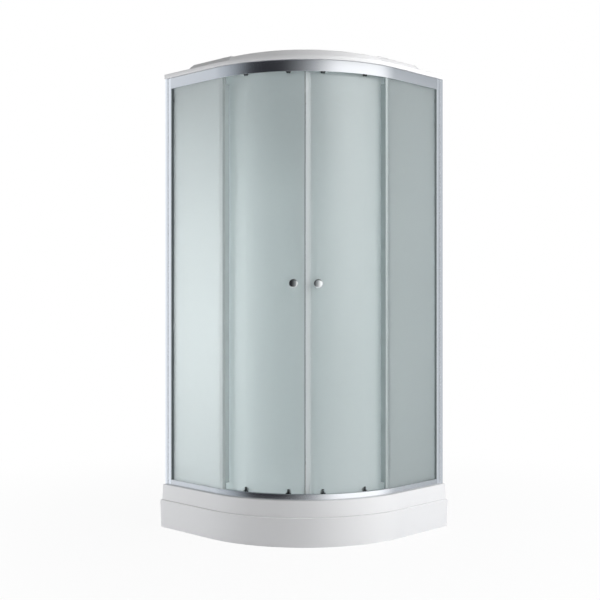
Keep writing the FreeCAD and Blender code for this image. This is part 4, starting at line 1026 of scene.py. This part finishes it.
class ENCLOSURE_OT_posts(bpy.types.Operator):
    """Adds the two-part posts at the walls and the dark beads beside them"""
    bl_idname = "enclosure.posts"
    bl_label = "Posts"

    def execute(self, context):
        sizes = context.scene.enclosure_profiles
        for side in SIDES:
            for name, shape, node in (
                    ("wall_post_", self.wall_profile(sizes), "wall_profile_"),
                    ("inner_post_", self.stile(sizes), "stile_")):
                # The posts' aluminium is a lighter copy of the rails' metal: painted light.
                add_beside(side, name, shape, "root", "post_aluminium", node, "aluminium")
            add_beside(side, "dark_bead_", self.bead(sizes), "root", "dark_rubber", "bead_")
        return {"FINISHED"}

    def wall_profile(self, sizes):
        """U-shaped profile with two fins that hold the rear panel's edge."""
        wall, edge, deep, width = sizes.post_wall, sizes.edge, sizes.depth, WALL_PROFILE_WIDTH
        face = wall + sizes.post_swell / 2
        corners = bulged(0, 0, width, -sizes.post_swell / 2, edge, POST_FACE_STEPS)
        corners += [(face, width, 0), (face, wall, edge), (deep - wall, wall, edge)]
        corners += [(deep - wall, width, edge / 2), (deep, width, edge / 2)]
        for start in (sizes.rear_fin + sizes.fin_step, sizes.rear_fin):
            end = start + sizes.fin
            corners += [
                (deep, end, 0), (deep + sizes.fin_reach, end, edge / 2),
                (deep + sizes.fin_reach, start, edge / 2), (deep, start, 0)]
        corners.append((deep, 0, edge))
        return Shape().upright(post_outline(corners), RIM_TOP, UPPER_RAIL_TOP)

    def stile(self, sizes):
        """Inner profile with the pocket for the pane."""
        edge, pocket = sizes.edge, POST_WIDTH - sizes.pocket
        pocket_front, pocket_back = PANE_FRONT - 4 * sizes.fit, PANE_BACK + sizes.fit
        corners = [(STILE_FRONT + sizes.post_swell, STILE_START, edge)]
        seam = WALL_PROFILE_WIDTH + sizes.fit
        corners += bulged(STILE_FRONT, seam, POST_WIDTH, -sizes.post_swell, edge, POST_FACE_STEPS)
        corners += [
            (pocket_front, POST_WIDTH, edge / 2), (pocket_front, pocket, 0), (pocket_back, pocket, 0),
            (pocket_back, POST_WIDTH, edge / 2), (STILE_BACK, POST_WIDTH, edge),
            (STILE_BACK, STILE_START, edge)]
        return Shape().upright(post_outline(corners), RIM_TOP, UPPER_RAIL_TOP)

    def bead(self, sizes):
        """Wedge-shaped rubber beside the post."""
        inner, edge = PANE_FRONT - sizes.fit / 2, sizes.edge
        crest = POST_WIDTH + BEAD_CREST * (BEAD_END - POST_WIDTH)
        corners = [
            (BEAD_FRONT, POST_WIDTH, edge), (BEAD_FRONT, crest, 2 * edge), (inner - edge, BEAD_END, edge / 2),
            (inner, BEAD_END, 0), (inner, POST_WIDTH, 0)]
        return Shape().upright(post_outline(corners), LOWER_RAIL_TOP, UPPER_RAIL_BOTTOM)


# ---- seals ----

LONG_SIDE = 0.5  # degrees
# Raised lines of a meeting strip: share of its width, and whether it is raised there
STRIP_FACE = ((0, 0), (0.04, 1), (0.16, 1), (0.20, 0), (0.80, 0), (0.84, 1), (0.96, 1), (1, 0))


def arc_outline(corners):
    """An outline round the arc centre from (angle, reach) corners; its long sides follow the arc."""
    outline = []
    for number, (angle, reach) in enumerate(corners):
        next_angle, next_reach = corners[(number + 1) % len(corners)]
        count = SEAL_STEPS if abs(next_angle - angle) > LONG_SIDE else 1
        for share in shares(count)[:-1]:
            point = polar(angle + (next_angle - angle) * share, reach + (next_reach - reach) * share)
            outline.append((point.x - LEFT, BACK - point.y))
    return outline


class ENCLOSURE_OT_seals(bpy.types.Operator):
    """Adds the strips on the edges of panes and doors"""
    bl_idname = "enclosure.seals"
    bl_label = "Seals"

    def execute(self, context):
        sizes = context.scene.enclosure_seals
        for side in SIDES:
            add_beside(side, "pane_strip_", self.pane_strip(sizes), "root", "clear_seal", "fixed_edge_seal_")
            door = "door_" + side
            add_beside(side, "rear_strip_", self.rear_strip(sizes), door, "clear_seal", "trailing_seal_")
            strip = self.meeting_strip(sizes, "meeting_seal_" + side)
            add_beside(side, "meeting_strip_", strip, door, "magnet_seal", "meeting_seal_")
        core = self.magnet(sizes, "meeting_seal_left").mirrored()
        add_piece("magnet_core_left", core, "door_left", "dark_plastic", slot="magnet_seal")
        return {"FINISHED"}

    def pane_strip(self, sizes):
        """Channel on the flat pane's free edge with a fin towards the door."""
        wall, fit = sizes.wall, sizes.fit
        low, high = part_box("fixed_edge_seal_right")
        outer, inner = FLAT + RAIL - PANE_FRONT + fit, FLAT + RAIL - PANE_BACK - fit
        start, end = BACK - high.y, BACK - low.y
        shape = Shape().upright(rounded([
            (outer + wall, start, wall / 2), (outer + wall, end, wall / 2), (inner - wall, end, wall / 2),
            (inner - wall, start, wall / 2), (inner, start, 0), (inner, end - wall, 0),
            (outer, end - wall, 0), (outer, start, 0)]), low.z, high.z)
        tip = low.x - LEFT
        fin = rounded([
            (inner - wall, end - wall, 0), (inner - wall, end - TINY, 0), (tip, end - TINY, wall / 2),
            (tip, end - wall, wall / 2)])
        return shape.upright(fin, low.z + sizes.margin, high.z - sizes.margin)

    def rear_strip(self, sizes):
        """Channel on the door's rear edge with a fin towards the flat pane."""
        wall, fit = sizes.wall, sizes.fit
        start, end, _, tip = round_box("trailing_seal_right")
        outer, inner = DOOR_OUTER + fit, DOOR_INNER - fit
        web = end - math.degrees(wall / DOOR_OUTER)
        low, high = heights("trailing_seal_right")
        shape = Shape().upright(arc_outline([
            (start, outer + wall), (end, outer + wall), (end, inner - wall), (start, inner - wall),
            (start, inner), (web, inner), (web, outer), (start, outer)]), low, high)
        fin = arc_outline([(web, outer + wall), (web, tip), (end, tip), (end, outer + wall)])
        return shape.upright(fin, low + sizes.margin, high - sizes.margin)

    def meeting_strip(self, sizes, node):
        """Channel with two raised lines along it, closed where the doors meet."""
        wall, fit, ridge = sizes.wall, sizes.fit, sizes.ridge
        angle0, angle1 = sorted(abs(angle) for angle in round_box(node)[:2])
        outer, inner = DOOR_OUTER + fit, DOOR_INNER - fit
        web = angle0 + math.degrees((wall + fit) / DOOR_OUTER)
        width = angle1 - angle0
        outline = [
            (angle0 + width * share, outer + wall - (0 if raised else ridge)) for share, raised in STRIP_FACE]
        outline += [
            (angle1, outer), (web, outer), (web, inner), (angle1, inner), (angle1, inner - wall),
            (angle0, inner - wall)]
        return Shape().upright(arc_outline(outline), *heights(node))

    def magnet(self, sizes, node):
        """Dark magnet in the nose of the narrow strip; it shows as a line between the doors."""
        angle0 = min(abs(angle) for angle in round_box(node)[:2])
        outer, inner = DOOR_OUTER + sizes.fit + sizes.wall, DOOR_INNER - sizes.fit - sizes.wall
        ends = (sizes.cover, sizes.cover + sizes.magnet)
        first, last = (math.degrees(reach / DOOR_OUTER) + angle0 for reach in ends)
        outline = arc_outline([(first, outer), (last, outer), (last, inner), (first, inner)])
        low, high = heights(node)
        return Shape().upright(outline, low + sizes.wall, high - sizes.wall)


# ---- knobs ----

class ENCLOSURE_OT_knobs(bpy.types.Operator):
    """Adds the turned knobs on both faces of each door"""
    bl_idname = "enclosure.knobs"
    bl_label = "Knobs"

    def execute(self, context):
        sizes = context.scene.enclosure_knobs
        through = 2 * sizes.gap + DOOR_OUTER - DOOR_INNER
        for side, sign in SIDES.items():
            way = outward(sign * sizes.angle)
            front = polar(sign * sizes.angle, DOOR_OUTER + sizes.gap, KNOB_HEIGHT)
            rear = polar(sign * sizes.angle, DOOR_INNER - sizes.gap, KNOB_HEIGHT)
            stud = through - sizes.gap + sizes.stud_reach
            self.add(sizes, "knob_outer_" + side, "front_knob_" + side, front, way, "door_" + side, stud)
            self.add(sizes, "knob_inner_" + side, "rear_knob_" + side, rear, -way, "door_" + side, 0)
        return {"FINISHED"}

    def add(self, sizes, node, name, start, direction, body, stud):
        radius, length, soft, swell = sizes.radius, sizes.length, sizes.soft, sizes.swell
        head, thick = length - sizes.head, sizes.base_thick
        corners = [(0, TINY, 0)]
        if stud:
            corners = [(-stud, TINY, 0), (-stud, sizes.stud, soft / 4), (0, sizes.stud, 0)]
        corners += [
            (0, sizes.base, soft / 6), (thick, sizes.base, soft / 3), (1.6 * thick, sizes.neck, soft / 2),
            (head - 1.2 * soft, sizes.neck, soft), (head, radius - soft, soft / 2),
            (head + soft, radius, soft), (length - swell - soft / 3, radius, soft / 3)]
        for share in reversed(shares(KNOB_FACE_STEPS)[:-1]):
            corners.append((length - swell * share * share, max((radius - soft / 3) * share, TINY), 0))
        shape = Shape().turned(rounded(corners, 5), start, direction, KNOB_STEPS)
        add_piece(name, shape, body, "chrome", node)


# ---- hangers ----

PIN_SHY = 0.1 * MM  # by which the axles end short of their solids


class ENCLOSURE_OT_hangers(bpy.types.Operator):
    """Adds the plates with axles that hang the doors on their upper wheels"""
    bl_idname = "enclosure.hangers"
    bl_label = "Hangers"

    def execute(self, context):
        sizes = context.scene.enclosure_hangers
        for side, sign in SIDES.items():
            shape = Shape()
            for angle in (sizes.lead, sizes.trail):
                self.plate(sizes, shape, sign * angle)
                self.axle(sizes, shape, sign * angle)
            node = "upper_roller_brackets_" + side
            add_piece("hanger_plates_" + side, shape, "door_" + side, "dark_plastic", node)
        return {"FINISHED"}

    def plate(self, sizes, shape, angle):
        """Flat plate with rounded corners that narrows to a short tongue below the rail."""
        low, high = heights("upper_roller_brackets_right")
        wide, tongue, soft = sizes.width / 2, sizes.tongue / 2, sizes.soft
        corners = [
            (-wide, high, soft), (wide, high, soft), (wide, UPPER_RAIL_BOTTOM + soft, soft),
            (tongue, low + 1.6 * soft, soft), (tongue, low + sizes.lift, soft / 2),
            (-tongue, low + sizes.lift, soft / 2), (-tongue, low + 1.6 * soft, soft),
            (-wide, UPPER_RAIL_BOTTOM + soft, soft)]
        outline = rounded(corners)
        across = outward(angle + 90)
        outer, edge = RAIL - sizes.depth, sizes.edge
        inner = outer - sizes.thick
        shape.rings([
            [polar(angle, reach) + across * along + UP * z for along, z in drawn_in(outline, inset)]
            for reach, inset in ((inner, edge), (inner + edge, 0), (outer - edge, 0), (outer, edge))])

    def axle(self, sizes, shape, angle):
        """Pin through the wheel with a thin rounded head."""
        height = sum(heights("upper_wheel_right_lead")) / 2
        tip = round_box("upper_roller_brackets_right")[3]
        start = RAIL - sizes.depth - sizes.thick / 2
        length = tip - start - PIN_SHY
        profile = rounded([
            (0, TINY, 0), (0, sizes.pin, 0), (length - sizes.head_thick, sizes.pin, 0),
            (length - sizes.head_thick, sizes.head, sizes.edge), (length, sizes.head, sizes.edge),
            (length, TINY, 0)])
        shape.turned(profile, polar(angle, start, height), outward(angle), PIN_STEPS)


# ---- tray ----

WASTE_DISH = 1.5  # radius of the shallow dish round the waste, in radii of its hole


def corner_points(p, q, radius, start, z):
    """A quarter turn round (p, q), in distances from the walls."""
    turns = [math.radians(start + 90 * share) for share in shares(CORNER_STEPS)]
    return [at(p + radius * math.cos(turn), q + radius * math.sin(turn), z) for turn in turns]


def quadrant_loop(side, wall, z, corner):
    """Points round a quadrant: rear corner, right flat, arc and left flat."""
    near = wall + corner
    flat = [near + (FLAT - near) * step / FLAT_STEPS for step in range(1, FLAT_STEPS)]
    points = corner_points(near, near, corner, 180, z) + corner_points(side - corner, near, corner, 270, z)
    points += [at(side, along, z) for along in flat]
    points += [polar(ARC_END - 2 * ARC_END * share, side - FLAT, z) for share in shares(ARC_STEPS)]
    points += [at(along, side, z) for along in reversed(flat)]
    return points + corner_points(near, side - corner, corner, 90, z)


def quadrant_loops(levels):
    """Loops through (side, wall, z, corner, rounding) levels, with curves where one is rounded."""
    loops = []
    for number, level in enumerate(levels):
        here, soft = Vector(level[:4]), level[4]
        if soft == 0 or number in (0, len(levels) - 1):
            loops.append(quadrant_loop(*here))
            continue
        before = Vector(levels[number - 1][:4]) - here
        after = Vector(levels[number + 1][:4]) - here
        first = here + before * min(soft / Vector((before[0], before[2])).length, LARGEST_CUT)
        last = here + after * min(soft / Vector((after[0], after[2])).length, LARGEST_CUT)
        loops += [quadrant_loop(*curve(first, here, last, share)) for share in shares(ROUND_STEPS)]
    return loops


def circle_loop(loop, middle, radius, z):
    """A circle with as many points as the loop round it."""
    points = []
    for point in loop:
        way = Vector((point.x - middle.x, point.y - middle.y, 0)).normalized()
        points.append(Vector((middle.x, middle.y, z)) + way * radius)
    return points


class ENCLOSURE_OT_tray(bpy.types.Operator):
    """Adds the moulded tray and its curved front panel"""
    bl_idname = "enclosure.tray"
    bl_label = "Tray"

    def execute(self, context):
        sizes = context.scene.enclosure_tray
        self.shell(sizes)
        self.apron(sizes)
        return {"FINISHED"}

    def shell(self, sizes):
        """One skin: skirt, rim, bowl, waste hole, and the same again underneath."""
        wall, corner = sizes.wall, sizes.bowl_corner
        skirt, rim = FLAT + SKIRT, FLAT + RAIL + sizes.land
        bowl, bowl_wall = FLAT + RAIL - sizes.bowl_inset, sizes.bowl_wall_inset
        floor, floor_wall = bowl - sizes.bowl_draft, bowl_wall + sizes.bowl_draft
        top = FLOOR_BOTTOM + sizes.floor_wall
        upper = quadrant_loops([
            (skirt - wall, wall, APRON_TOP, TINY, 0), (skirt, 0, APRON_TOP, TINY, sizes.rim_round / 4),
            (rim, 0, RIM_TOP, TINY, sizes.rim_round), (bowl, bowl_wall, RIM_TOP, corner, sizes.bowl_round),
            (floor, floor_wall, top, corner, sizes.floor_round),
            (floor - corner, floor_wall + corner, top, corner, 0)])
        lower = quadrant_loops([
            (floor + wall, floor_wall - wall, FLOOR_BOTTOM, corner, 0),
            (bowl + wall, bowl_wall - wall, RIM_TOP - wall, corner, sizes.bowl_round / 2),
            (rim - wall, wall, RIM_TOP - wall, TINY, 0)])
        middle = at(sizes.drain_side, sizes.drain_side)
        wide, radius = WASTE_DISH * sizes.drain_radius, sizes.drain_radius
        hole = [circle_loop(upper[-1], middle, reach, z) for reach, z in (
            (wide, top), (radius, top - sizes.fall), (radius, FLOOR_BOTTOM))]
        shape = Shape().rings(upper + hole + lower, closed_path=True)
        add_piece("moulded_tray", shape, "root", "white_acrylic", "tray_shell", sharp=MOULDED_SHARP)

    def apron(self, sizes):
        """Leaning front panel with a rounded top edge, a flange on top and a foot below."""
        wall, thin, edge = sizes.wall, sizes.flange, sizes.rim_round / 4
        foot = APRON - sizes.lean
        flange = SKIRT - sizes.flange_inset
        section = rounded([
            (foot, 0, edge), (APRON, APRON_TOP, sizes.apron_round), (flange, APRON_TOP, edge),
            (flange, APRON_TOP - thin, edge), (APRON - wall, APRON_TOP - thin, edge),
            (foot - wall, thin, edge), (foot - sizes.foot, thin, edge), (foot - sizes.foot, 0, edge)], 8)
        shape = Shape().sweep(section, front_path(0))
        add_piece("curved_apron", shape, "root", "white_acrylic", "tray_apron")


# ---- roof ----

EDGE_INSETS = (0, 0.4, 1, 1.8, 2.6, 3.4, 4.4, 5.6, 6.8, 8, 9.5, 11.5, 14)  # in millimetres
LIP_BEVEL = 0.15  # of the roof's thickness
WALL_SHY = 0.02 * MM  # keeps the parts of the roof just off the wall planes, where faces would coincide
SLOPE_STEPS = 12  # stations along the humps' ramp
# Angles between stations along the arc: wide, fine where the crown ends, then even to the middle
WIDE_STEP, WIDE_COUNT = 1.2, 5
FINE_START, FINE_STEP, FINE_COUNT = 39, 0.15, 27
EVEN_START, EVEN_COUNT = 34.9, 24


def least(first, second, soft):
    """The smaller of two, with a rounded change from one to the other."""
    near = max(soft - abs(first - second), 0) / soft
    return min(first, second) - near * near * soft / 4


class ENCLOSURE_OT_roof(bpy.types.Operator):
    """Adds the moulded roof: lip, arched crown, two humps and a low dome"""
    bl_idname = "enclosure.roof"
    bl_label = "Roof"

    def execute(self, context):
        sizes = context.scene.enclosure_roof
        shape = Shape()
        self.border(sizes, shape)
        self.middle(sizes, shape)
        self.wall_seat(sizes, shape)
        add_piece("moulded_roof", shape, "root", "white_acrylic", "roof_shell", sharp=MOULDED_SHARP)
        return {"FINISHED"}

    def border(self, sizes, shape):
        """The strip along the front edge that carries the crown and the humps."""
        deck, wall, seat = UPPER_RAIL_TOP + sizes.deck, sizes.wall, sizes.seat + sizes.overhang
        inner, bevel = sizes.hump_inset + sizes.hump_width + 2 * sizes.soft, LIP_BEVEL * wall
        insets = [value * MM for value in EDGE_INSETS]
        insets += [insets[-1] + (inner - insets[-1]) * share for share in shares(BORDER_STEPS)[1:]]
        rings = []
        for origin, way in self.stations(sizes):
            points = {inset: origin + way * (ROOF - inset) for inset in (*insets, wall, bevel, seat)}
            ring = [points[inset] + UP * z for inset, z in (
                (wall, UPPER_RAIL_TOP), (wall, ROOF_BOTTOM), (bevel, ROOF_BOTTOM), (0, ROOF_BOTTOM + bevel))]
            tops = {inset: self.top(sizes, points[inset], inset) for inset in insets}
            ring += [points[inset] + UP * tops[inset] for inset in insets]
            ring += [
                points[inset] + UP * (max(tops[inset], deck) - wall) for inset in reversed(insets)
                if inset > seat]
            rings.append(ring + [points[seat] + UP * (deck - wall), points[seat] + UP * UPPER_RAIL_TOP])
        shape.rings(rings)

    def stations(self, sizes):
        """Places along the front edge, close together where the humps and the crown end."""
        start, slope = sizes.hump_start, sizes.hump_slope
        foot = start + 1.5 * slope
        along = [share * start for share in (0, 0.33, 0.66)]
        along += [start + slope * step / SLOPE_STEPS for step in range(-1, SLOPE_STEPS + 3)]
        along += [foot + (FLAT - foot) * share for share in shares(FLAT_STEPS)[:-1]]
        angles = [ARC_END - WIDE_STEP * step for step in range(WIDE_COUNT)]
        angles += [FINE_START - FINE_STEP * step for step in range(FINE_COUNT)]
        angles += [EVEN_START * (1 - share) for share in shares(EVEN_COUNT)[:-1]]
        right = [(at(FLAT, q), Vector((1, 0, 0))) for q in along]
        right += [(CENTRE.copy(), outward(angle)) for angle in angles]
        left = [tuple(Vector((-y, -x, z)) for x, y, z in station) for station in reversed(right)]
        return right + [(CENTRE.copy(), outward(0))] + left

    def top(self, sizes, point, inset):
        """Height of the roof's upper face over a point near the front edge."""
        deck, soft = UPPER_RAIL_TOP + sizes.deck, sizes.soft
        from_centre = (point - CENTRE).to_2d()
        angle = angle_of(from_centre)
        reach = ROOF - inset
        level = 0.0
        if inset < sizes.edge:
            level = math.sqrt(sizes.edge ** 2 - (sizes.edge - inset) ** 2) - sizes.edge
        if abs(angle) < sizes.crown_angle:
            across = reach * math.sin(math.radians(angle))
            arch = sizes.crown_rise - across ** 2 / (2 * sizes.crown_arch)
            front = inset / sizes.crown_lean - sizes.wall
            rear = (sizes.crown_width - inset) / sizes.crown_lean
            end = math.radians(sizes.crown_angle - abs(angle)) * reach / sizes.end_lean
            level = max(level, least(least(arch, front, soft), least(rear, end, soft), soft))
        p, q = point.x - LEFT, BACK - point.y
        side, along = (p, q) if p > q else (q, p)
        depth = FLAT + ROOF - side - sizes.hump_inset
        across = least(depth, sizes.hump_width - depth, soft) / sizes.hump_draft
        ramp = (along - sizes.hump_start) / sizes.hump_slope
        slope = min(ramp, (sizes.hump_end - along) / sizes.hump_groove)
        full = sizes.hump_rise + sizes.wall
        rise = least(least(full * across, full * slope, soft), full, soft) - sizes.wall
        return min(deck + max(level, rise), ROOF_TOP)

    def middle(self, sizes, shape):
        """The rest of the roof, with the dome."""
        deck, wall = UPPER_RAIL_TOP + sizes.deck - TINY, sizes.wall
        start = FLAT + ROOF - sizes.hump_inset - sizes.hump_width
        side, inset, corner = FLAT + ROOF - sizes.dome_inset, sizes.dome_inset, sizes.dome_corner
        top = deck + sizes.dome_rise
        levels = [(start, WALL_SHY, deck, TINY)]
        for share in shares(DOME_STEPS):
            moved = sizes.dome_draft * share
            levels.append((side - moved, inset + moved, deck + sizes.dome_rise * ease(share), corner))
        rings = [quadrant_loop(*level) for level in levels]
        rim = rings[-1]
        middle = sum(rim, Vector()) / len(rim)
        for share in (0.5, 0.0):
            inwards = [middle.lerp(point, share) for point in rim]
            rings.append([Vector((point.x, point.y, top)) for point in inwards])
        under = [[point - UP * wall for point in ring] for ring in reversed(rings)]
        shape.rings(rings + under, closed_path=True)

    def wall_seat(self, sizes, shape):
        """Thick strips along both walls, where the roof lies on the rear panels and posts."""
        high = UPPER_RAIL_TOP + sizes.deck - sizes.wall / 2
        end, near, far = FLAT + RAIL, 2 * WALL_SHY, sizes.seat
        outline = [(near, near), (end, near), (end, far), (far, far), (far, end), (near, end)]
        shape.upright(outline, UPPER_RAIL_TOP, high)


# ---- panel and running ----

SETTINGS = {
    "enclosure_stage": StageSettings, "enclosure_camera": CameraSettings, "enclosure_colours": ColourSettings,
    "enclosure_glass": GlassSettings, "enclosure_profiles": ProfileSettings, "enclosure_seals": SealSettings,
    "enclosure_knobs": KnobSettings, "enclosure_hangers": HangerSettings,
    "enclosure_tray": TraySettings, "enclosure_roof": RoofSettings}
STEPS = [
    ENCLOSURE_OT_camera, ENCLOSURE_OT_stage, ENCLOSURE_OT_finishes, ENCLOSURE_OT_tray, ENCLOSURE_OT_rails,
    ENCLOSURE_OT_posts, ENCLOSURE_OT_seals, ENCLOSURE_OT_knobs, ENCLOSURE_OT_hangers,
    ENCLOSURE_OT_roof]


class ENCLOSURE_PT_panel(bpy.types.Panel):
    """Settings and steps of the enclosure"""
    bl_idname = "ENCLOSURE_PT_panel"
    bl_label = "Enclosure"
    bl_space_type = "VIEW_3D"
    bl_region_type = "UI"
    bl_category = "Enclosure"

    def draw(self, context):
        for name in SETTINGS:
            box = self.layout.box()
            settings = getattr(context.scene, name)
            for field in settings.bl_rna.properties:
                if not field.is_readonly:
                    box.prop(settings, field.identifier)
        for step in STEPS:
            self.layout.operator(step.bl_idname)


def register():
    for kind in [*SETTINGS.values(), *STEPS, ENCLOSURE_PT_panel]:
        bpy.utils.register_class(kind)
    for name, kind in SETTINGS.items():
        setattr(bpy.types.Scene, name, PointerProperty(type=kind))


def unregister():
    for name in SETTINGS:
        delattr(bpy.types.Scene, name)
    for kind in [ENCLOSURE_PT_panel, *reversed(STEPS), *SETTINGS.values()]:
        bpy.utils.unregister_class(kind)


def main():
    register()
    for step in STEPS:
        group, name = step.bl_idname.split(".")
        getattr(getattr(bpy.ops, group), name)()


if __name__ == "__main__":
    main()
